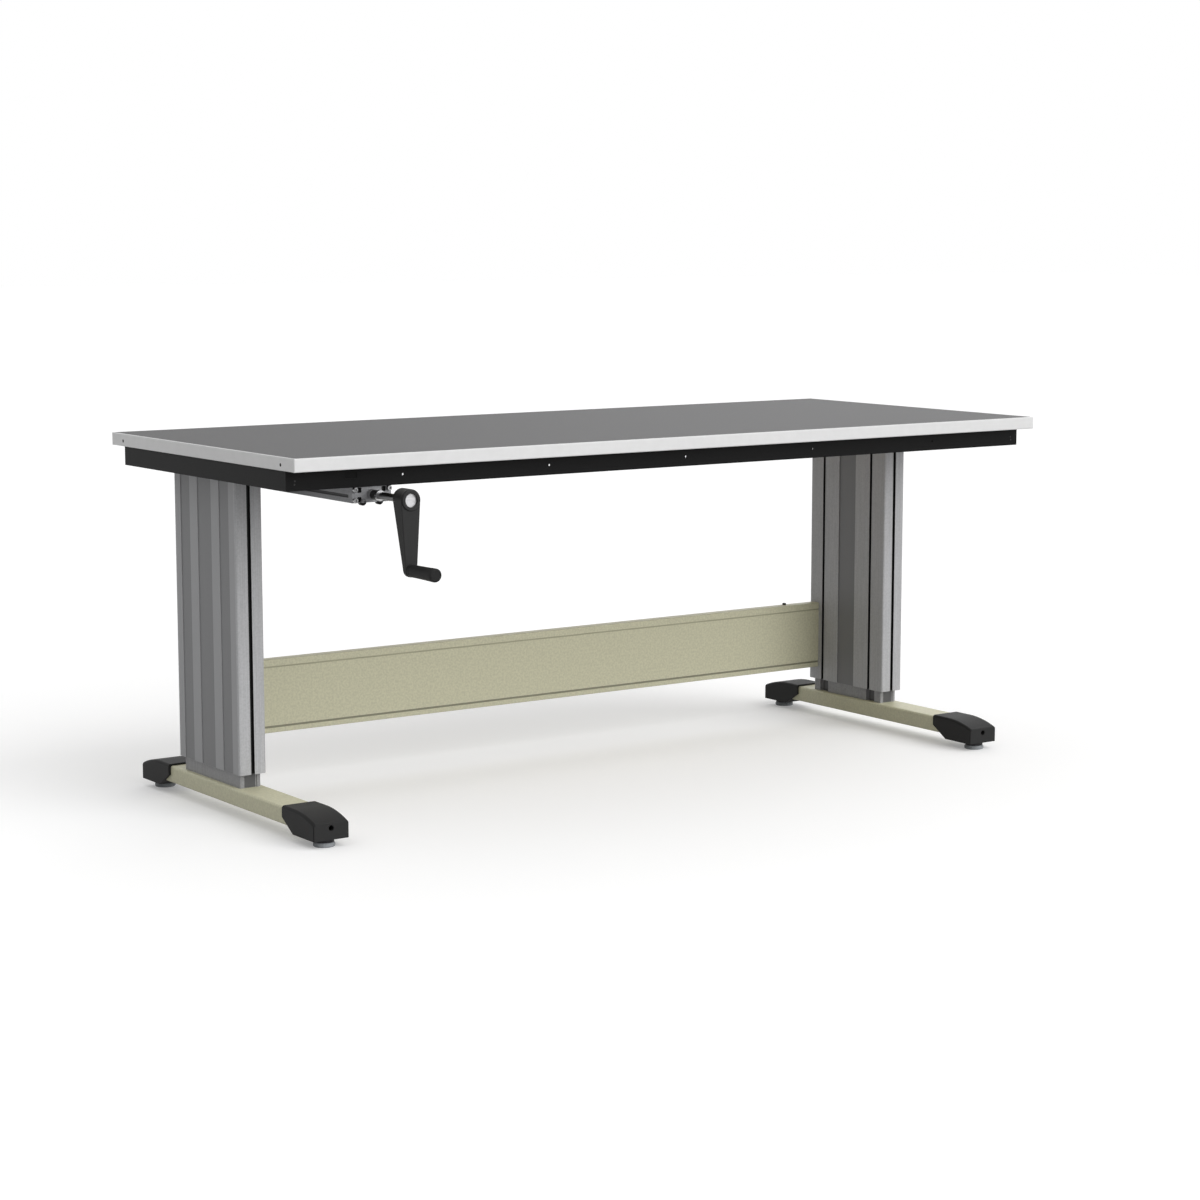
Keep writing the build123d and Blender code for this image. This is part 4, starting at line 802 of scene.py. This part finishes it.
class DeskStage(bpy.types.PropertyGroup):
    """Camera, lights and floor."""

    camera_place: bpy.props.FloatVectorProperty(
        name="Camera place", description="Where the camera stands",
        default=(-3.2582, -4.6649, 1.1606), size=3, subtype="TRANSLATION", unit="LENGTH",
    )
    camera_turn: bpy.props.FloatVectorProperty(
        name="Camera turn", description="How the camera is turned",
        default=(math.radians(82.024), 0.0, math.radians(-35.145)),
        size=3, subtype="EULER", unit="ROTATION",
    )
    focal_length: number_prop(
        "Focal length", "Lens, in millimetres on a 36 mm sensor", 81.23, min=10.0
    )
    ambient: number_prop("Ambient", "Strength of the even light from all sides", 0.38)
    key: number_prop("Key light", "Strength of the soft light from the front right", 1.62)
    fill: number_prop("Fill light", "Strength of the low light from the front", 0.8)
    top: number_prop("Top light", "Strength of the soft light from above", 0.85)
    rim: number_prop("Rim light", "Strength of the light from the rear right", 0.3)
    floor: colour_prop("Floor", "Pale studio floor", (0.82, 0.82, 0.82))
    bounce: colour_prop("Bounce", "What the floor throws back at the desk", (0.55, 0.55, 0.55))
    floor_glow: number_prop("Floor glow", "White that the camera adds to the floor", 0.24, max=1.0)
    floor_size: length_prop("Floor size", "Width of the floor", 80.0)


# Pieces


class DESK_OT_worktop(bpy.types.Operator):
    """Finish the worktop's board, laminate and edge bands, and pin the end bands"""

    bl_idname = "desk.worktop"
    bl_label = "Worktop"

    def execute(self, context):
        colours = context.scene.desk_finishes
        details = context.scene.desk_details
        dress(laminate("grey_laminate", colours.laminate, roughness=0.5), "worktop_laminate")
        dress(chipboard("pressed_chips", colours.board, roughness=0.72), "worktop_core")
        band = powder_coat("edge_trim", colours.band, grain=0.02, contrast=0.015, roughness=0.36)
        dress(band, *(f"edge_band_{place}" for place in (*ENDS, *SIDES)))
        dark = moulded("dark_pin", colour=(0.006, 0.006, 0.006), grain=0.001, roughness=0.5)
        low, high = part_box("edge_band_left")
        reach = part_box("edge_band_rear")[1].y - details.band_pin_inset
        level = low.z + BAND_PIN_LEVEL * (high.z - low.z)
        groups = []
        for sign in WAYS:
            points = [(sign * abs(low.x), way * reach, level) for way in WAYS]
            groups.append(("band_pin", points, (0.0, sign * QUARTER_TURN, 0.0)))
        pins = screws(context, "band_pins", dark, *groups)
        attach(pins, "lift")
        return {"FINISHED"}


class DESK_OT_apron(bpy.types.Operator):
    """Finish the apron frame and the arms, and add their rivets and screws"""

    bl_idname = "desk.apron"
    bl_label = "Apron frame"

    def execute(self, context):
        colours = context.scene.desk_finishes
        details = context.scene.desk_details
        black = powder_coat(
            "black_paint", colours.black_steel, grain=0.002, contrast=0.12, roughness=0.42,
            specular=0.085, painted_shade=apron_painted_shade,
        )
        aprons = [f"apron_{place}" for place in (*ENDS, *SIDES)]
        dress(black, *aprons, *pair("column_arm"), "pump_hanger")
        self.corner_rivets(context, details)
        self.lip_screws(context, details, plated("lip_screw_zinc", colours.zinc, roughness=0.36))
        return {"FINISHED"}

    def corner_rivets(self, context, details):
        """Small rivets at both ends of the front and the rear apron."""
        dull = plated("dull_rivet", colour=(0.035, 0.035, 0.035), roughness=0.4)
        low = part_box("apron_front")[0]
        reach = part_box("worktop_laminate")[1].x - details.corner_rivet_inset
        groups = []
        for way in WAYS:
            face = way * abs(low.y)
            points = []
            for sign in WAYS:
                for out, up in CORNER_RIVETS:
                    points.append((sign * (reach + out), face, low.z + up))
            groups.append(("corner_rivet", points, (-way * QUARTER_TURN, 0.0, 0.0)))
        rivets = screws(context, "apron_rivets", dull, *groups)
        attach(rivets, "lift")

    def lip_screws(self, context, details, zinc):
        """Screws up through the lips of the arms and the pump's hanger."""
        points = []
        for arm in pair("column_arm"):
            low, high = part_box(arm)
            for x in (low.x + LIP_SCREW_INSET, high.x - LIP_SCREW_INSET):
                for step in LIP_SCREW_STEPS:
                    points.append((x, step * details.lip_screw_pitch, high.z - LIP_DROP))
        low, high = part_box("pump_hanger")
        for x in (low.x + HANGER_SCREW_INSET, high.x - HANGER_SCREW_INSET):
            points.append((x, high.y - HANGER_SCREW_FORWARD, high.z - LIP_DROP))
        down = (math.pi, 0.0, 0.0)
        made = screws(context, "lip_screws", zinc, ("lip_screw", points, down))
        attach(made, "lift")


class DESK_OT_columns(bpy.types.Operator):
    """Finish the telescopic columns, their heads, bolts, glides and lift cylinders"""

    bl_idname = "desk.columns"
    bl_label = "Columns"

    def execute(self, context):
        colours = context.scene.desk_finishes
        outer = drawn_metal(
            "anodised_column", colours.column, along="Z", metallic=0.05, roughness=0.46,
            contrast=0.11, painted_shade=column_painted_shade,
        )
        dress(outer, *pair("outer_column"))
        inner = drawn_metal(
            "anodised_inner", colours.inner_column, along="Z", metallic=0.05, roughness=0.42,
            contrast=0.16, painted_shade=inner_column_painted_shade,
        )
        dress(inner, *pair("inner_column"), *pair("column_head"))
        zinc = bolt_zinc(colours)
        dress(zinc, "column_bolts", "pump_bolts", "leveler_nuts", "grip_pin")
        glide = moulded("glide_white", colour=(0.62, 0.62, 0.6), grain=0.0014, roughness=0.4)
        dress(glide, "upper_glides", "lower_glides")
        tube = drawn_metal("cylinder_tube", colours.zinc, along="Z", metallic=0.9, roughness=0.32)
        dress(tube, *pair("cylinder_barrel"))
        dress(polished("ram_chrome", colours.chrome, roughness=0.1), *pair("cylinder_rod"))
        self.head_bolts(context, context.scene.desk_details, zinc)
        return {"FINISHED"}

    def head_bolts(self, context, details, zinc):
        """Socket screws that hold the arms and the column heads."""
        groups, standing = [], []
        for side, sign in zip(SIDES, WAYS):
            low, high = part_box(f"outer_column_{side}")
            middle = (low + high) / 2.0
            rows = [middle.y + way * details.head_bolt_along / 2.0 for way in WAYS]
            for y in rows:
                for way in WAYS:
                    x = middle.x + way * details.head_bolt_across / 2.0
                    standing.append((x, y, high.z + ARM_WALL))
            seat = (high.x if sign > 0.0 else low.x) - sign * SET_SCREW_SINK
            points = [(seat, y, high.z - details.head_screw_drop) for y in rows]
            groups.append(("set_screw", points, (0.0, sign * QUARTER_TURN, 0.0)))
        bolts = screws(context, "head_bolts", zinc, *groups, ("arm_bolt", standing, UPRIGHT))
        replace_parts(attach(bolts, "lift"), "column_head_bolts")


class DESK_OT_feet(bpy.types.Operator):
    """Finish the foot tubes, caps and studs, and make the fluted levelling pads"""

    bl_idname = "desk.feet"
    bl_label = "Feet"

    def execute(self, context):
        colours = context.scene.desk_finishes
        details = context.scene.desk_details
        cream = powder_coat(
            "cream_paint", colours.cream_steel, details.paint_grain, contrast=0.07, roughness=0.44
        )
        dress(cream, *pair("foot_tube"))
        cap = moulded(
            "cap_grain", colours.cap, details.plastic_grain, roughness=0.56, scuff=0.12,
            specular=0.15, painted_shade=cap_painted_reflection,
        )
        places = [f"{end}_{side}" for end in ENDS for side in SIDES]
        dress(cap, "stretcher_plug", *(f"foot_cap_{place}" for place in places))
        oxide = plated("black_oxide", colour=(0.02, 0.02, 0.021), roughness=0.42)
        dress(oxide, *(f"leveler_stud_{place}" for place in places))
        rim = moulded("pad_grey", colours.pad, grain=0.0009, roughness=0.4, scuff=0.1)
        tree = pad_tree()
        for place in places:
            low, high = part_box(f"leveler_pad_{place}")
            centre = ((low.x + high.x) / 2.0, (low.y + high.y) / 2.0, low.z)
            sizes = {"Radius": (high.x - low.x) / 2.0, "Height": high.z - low.z}
            pad = grown(context, f"fluted_pad_{place}", tree, [centre], UPRIGHT, rim, sizes)
            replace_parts(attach(pad, f"leveler_{place}"), f"leveler_pad_{place}")
        return {"FINISHED"}


class DESK_OT_stretcher(bpy.types.Operator):
    """Finish the stretcher and make the socket bolts at its ends"""

    bl_idname = "desk.stretcher"
    bl_label = "Stretcher"

    def execute(self, context):
        colours = context.scene.desk_finishes
        details = context.scene.desk_details
        # The beam's cream is a darker copy of the feet's paint: painted shade for its place under
        # the worktop.
        cream = powder_coat(
            "cream_beam", shade(colours.cream_steel, 0.93), details.paint_grain, contrast=0.085,
            roughness=0.44, painted_shade=stretcher_painted_shade,
        )
        dress(cream, "stretcher")
        low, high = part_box("stretcher_bolts")
        y = (low.y + high.y) / 2.0
        middle = (low.z + high.z) / 2.0
        seat = high.x - SCREW_KINDS["end_bolt"]["Shank Length"]
        rows = [middle + way * details.stretcher_bolt_up / 2.0 for way in WAYS]
        groups = []
        for sign in WAYS:
            points = [(sign * seat, y, z) for z in rows]
            groups.append(("end_bolt", points, (0.0, -sign * QUARTER_TURN, 0.0)))
        bolts = screws(context, "end_bolts", bolt_zinc(colours), *groups)
        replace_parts(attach(bolts, "lift"), "stretcher_bolts")
        return {"FINISHED"}


class DESK_OT_pump(bpy.types.Operator):
    """Finish the pump and make its cap screws and dome screws"""

    bl_idname = "desk.pump"
    bl_label = "Pump"

    def execute(self, context):
        colours = context.scene.desk_finishes
        body = drawn_metal(
            "pump_extrusion", colours.pump, along="Y", metallic=0.3, roughness=0.38,
            contrast=0.14, painted_shade=pump_body_painted_shade,
        )
        dress(body, "pump_body")
        cast = drawn_metal(
            "pump_ends", colours.pump, along="X", metallic=0.3, roughness=0.36,
            contrast=0.14, painted_shade=pump_plate_painted_shade,
        )
        dress(cast, "pump_front_plate", "pump_rear_block")
        bush = moulded("bush_black", shade(colours.crank, 0.7), grain=0.0012, roughness=0.38)
        dress(bush, "pump_bush")
        steel = drawn_metal("piston_steel", colours.zinc, along="Y", metallic=0.9, roughness=0.3)
        dress(steel, "pump_crosshead", "pump_pistons")
        self.hardware(context, context.scene.desk_details, colours)
        return {"FINISHED"}

    def hardware(self, context, details, colours):
        """Cap screws through both ends, and dome screws in the front plate's lugs."""
        low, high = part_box("pump_body")
        middle = (low + high) / 2.0
        heads_low, heads_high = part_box("pump_plate_screws")
        front = heads_low.y + SCREW_KINDS["front_cap"]["Head Height"]
        rear = heads_high.y - SCREW_KINDS["rear_cap"]["Head Height"]
        forward = (QUARTER_TURN, 0.0, 0.0)
        backward = (-QUARTER_TURN, 0.0, 0.0)
        groups = []
        for kind, y, facing in (("front_cap", front, forward), ("rear_cap", rear, backward)):
            points = []
            for across in HALVES:
                for up in HALVES:
                    x = middle.x + across * details.plate_screw_across
                    points.append((x, y, middle.z + up * details.plate_screw_up))
            groups.append((kind, points, facing))
        # The cap screws' chrome is darkened to half as a painted dark reflection.
        chrome = polished("screw_chrome", shade(colours.chrome, 0.5), roughness=0.2)
        caps = screws(context, "plate_screws", chrome, *groups)
        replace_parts(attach(caps, "lift"), "pump_plate_screws")
        # The domes are a darker pump grey; their black lower halves are a painted dark reflection
        # and shade.
        black = powder_coat(
            "dome_paint", shade(colours.pump, 0.8), grain=0.002, contrast=0.06, roughness=0.4,
            specular=0.06, painted_shade=dome_painted_shade,
        )
        level = low.z + details.lug_screw_rise
        points = [(middle.x + half * details.lug_screw_across, front, level) for half in HALVES]
        domes = screws(context, "dome_screws", black, ("dome", points, forward))
        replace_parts(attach(domes, "lift"), "pump_lug_screws")


class DESK_OT_crank(bpy.types.Operator):
    """Finish the crank and turn its grip"""

    bl_idname = "desk.crank"
    bl_label = "Crank"

    def execute(self, context):
        colours = context.scene.desk_finishes
        details = context.scene.desk_details
        # The shaft's chrome is darkened to a fifth as a painted dark reflection of the desk's
        # underside.
        dress(polished("shaft_chrome", shade(colours.chrome, 0.2), roughness=0.24), "crank_shaft")
        collar = polished("collar_chrome", shade(colours.chrome, 0.75), roughness=0.14)
        dress(collar, "shaft_collar")
        arm = moulded(
            "crank_grain", colours.crank, details.plastic_grain, roughness=0.42, scuff=0.08,
            painted_shade=crank_painted_shade,
        )
        dress(arm, "crank_arm")
        disc = drawn_metal(
            "hub_disc", shade(colours.chrome, 0.84), along="X", metallic=0.4, roughness=0.42,
            contrast=0.12,
        )
        dress(disc, "crank_hub_cap")
        rubber = moulded("grip_grain", colours.grip, grain=0.0014, roughness=0.55, scuff=0.1)
        low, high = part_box("crank_grip")
        pin_low, pin_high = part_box("grip_pin")
        centre = ((low.x + high.x) / 2.0, (low.z + high.z) / 2.0)
        bore = (pin_high.x - pin_low.x) / 2.0 + GRIP_PIN_GAP
        neck, tip = high.y, low.y
        widest = (high.x - low.x) / 2.0
        profile = [
            (neck, bore),
            *((neck - away, widest - inside) for away, inside in GRIP_NECK),
            *((tip + away, widest - inside) for away, inside in GRIP_TIP),
            (tip + GRIP_DISH, GRIP_POLE),
            (tip + GRIP_END_WALL, GRIP_POLE),
            (tip + GRIP_END_WALL, bore),
        ]
        grip = turned(context, "turning_grip", profile, centre, rubber, sides=64)
        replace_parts(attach(grip, "grip"), "crank_grip")
        return {"FINISHED"}


class DESK_OT_stage(bpy.types.Operator):
    """Set the floor, the soft studio light and the camera"""

    bl_idname = "desk.stage"
    bl_label = "Stage"

    def execute(self, context):
        stage = context.scene.desk_stage
        self.floor(context, stage)
        self.world(context, stage)
        for name, towards, spread in LAMPS:
            self.lamp(context, f"{name}_light", towards, getattr(stage, name), spread)
        camera = bpy.data.objects.new("camera", bpy.data.cameras.new("camera"))
        camera.location = stage.camera_place
        camera.rotation_euler = stage.camera_turn
        camera.data.lens = stage.focal_length
        camera.data.sensor_width = 36.0
        camera.data.clip_end = 200.0
        context.scene.collection.objects.link(camera)
        context.scene.camera = camera
        context.scene.view_settings.view_transform = "Standard"
        return {"FINISHED"}

    def floor(self, context, stage):
        """A pale floor that keeps the desk's shadow and is white to the camera."""
        half = stage.floor_size / 2.0
        mesh = bpy.data.meshes.new("floor")
        corners = [(-half, -half, 0.0), (half, -half, 0.0), (half, half, 0.0), (-half, half, 0.0)]
        mesh.from_pydata(corners, [], [(0, 1, 2, 3)])
        finish = Finish("studio_floor")
        seen = self.seen(finish)
        white = finish.node("ShaderNodeEmission", {}, {"Strength": seen * stage.floor_glow})
        matt = finish.node("ShaderNodeBsdfDiffuse", {}, {"Color": opaque(stage.floor)})
        shown = finish.node("ShaderNodeAddShader", {}, {0: matt, 1: white})
        thrown = finish.node("ShaderNodeBsdfDiffuse", {}, {"Color": opaque(stage.bounce)})
        shader = finish.node("ShaderNodeMixShader", {}, {0: seen, 1: thrown, 2: shown})
        finish.close("ShaderNodeOutputMaterial", "Surface", shader)
        mesh.materials.append(finish.material)
        ground = bpy.data.objects.new("floor", mesh)
        context.scene.collection.objects.link(ground)

    def seen(self, graph):
        """1 for what the camera, a gloss or a clear piece looks at, and 0 for plain light."""
        path = graph.node("ShaderNodeLightPath", output="Is Camera Ray")
        outputs = path.socket.node.outputs
        gloss = Value(graph, outputs["Is Glossy Ray"])
        clear = Value(graph, outputs["Is Transmission Ray"])
        return path + gloss + clear

    def world(self, context, stage):
        """Even light, and white where the background is looked at."""
        world = bpy.data.worlds.new("studio")
        world.use_nodes = True
        graph = Graph(world.node_tree)
        graph.tree.nodes.clear()
        strength = stage.ambient + (1.0 - stage.ambient) * self.seen(graph)
        sockets = {"Color": (1.0, 1.0, 1.0, 1.0), "Strength": strength}
        light = graph.node("ShaderNodeBackground", {}, sockets)
        graph.close("ShaderNodeOutputWorld", "Surface", light)
        context.scene.world = world

    def lamp(self, context, name, towards, strength, spread):
        """A distant soft light that comes from one direction."""
        lamp = bpy.data.lights.new(name, "SUN")
        lamp.energy = strength
        lamp.angle = math.radians(spread)
        made = bpy.data.objects.new(name, lamp)
        made.rotation_euler = Vector(towards).to_track_quat("Z", "Y").to_euler()
        context.scene.collection.objects.link(made)


class DESK_PT_panel(bpy.types.Panel):
    """Builds the desk piece by piece"""

    bl_idname = "DESK_PT_panel"
    bl_label = "Crank desk"
    bl_space_type = "VIEW_3D"
    bl_region_type = "UI"
    bl_category = "Desk"

    def draw(self, context):
        scene = context.scene
        for settings in (scene.desk_finishes, scene.desk_details, scene.desk_stage):
            box = self.layout.box()
            for name in settings.__annotations__:
                box.prop(settings, name)
        for piece in PIECES:
            self.layout.operator(piece.bl_idname)


PIECES = (
    DESK_OT_worktop,
    DESK_OT_apron,
    DESK_OT_columns,
    DESK_OT_feet,
    DESK_OT_stretcher,
    DESK_OT_pump,
    DESK_OT_crank,
    DESK_OT_stage,
)
CLASSES = (DeskFinishes, DeskDetails, DeskStage, *PIECES, DESK_PT_panel)


def register():
    for each in CLASSES:
        bpy.utils.register_class(each)
    bpy.types.Scene.desk_finishes = bpy.props.PointerProperty(type=DeskFinishes)
    bpy.types.Scene.desk_details = bpy.props.PointerProperty(type=DeskDetails)
    bpy.types.Scene.desk_stage = bpy.props.PointerProperty(type=DeskStage)


def unregister():
    del bpy.types.Scene.desk_stage
    del bpy.types.Scene.desk_details
    del bpy.types.Scene.desk_finishes
    for each in reversed(CLASSES):
        bpy.utils.unregister_class(each)


def main():
    """Register the classes and build the desk piece by piece."""
    register()
    bpy.ops.desk.worktop()
    bpy.ops.desk.apron()
    bpy.ops.desk.columns()
    bpy.ops.desk.feet()
    bpy.ops.desk.stretcher()
    bpy.ops.desk.pump()
    bpy.ops.desk.crank()
    bpy.ops.desk.stage()


if __name__ == "__main__":
    main()
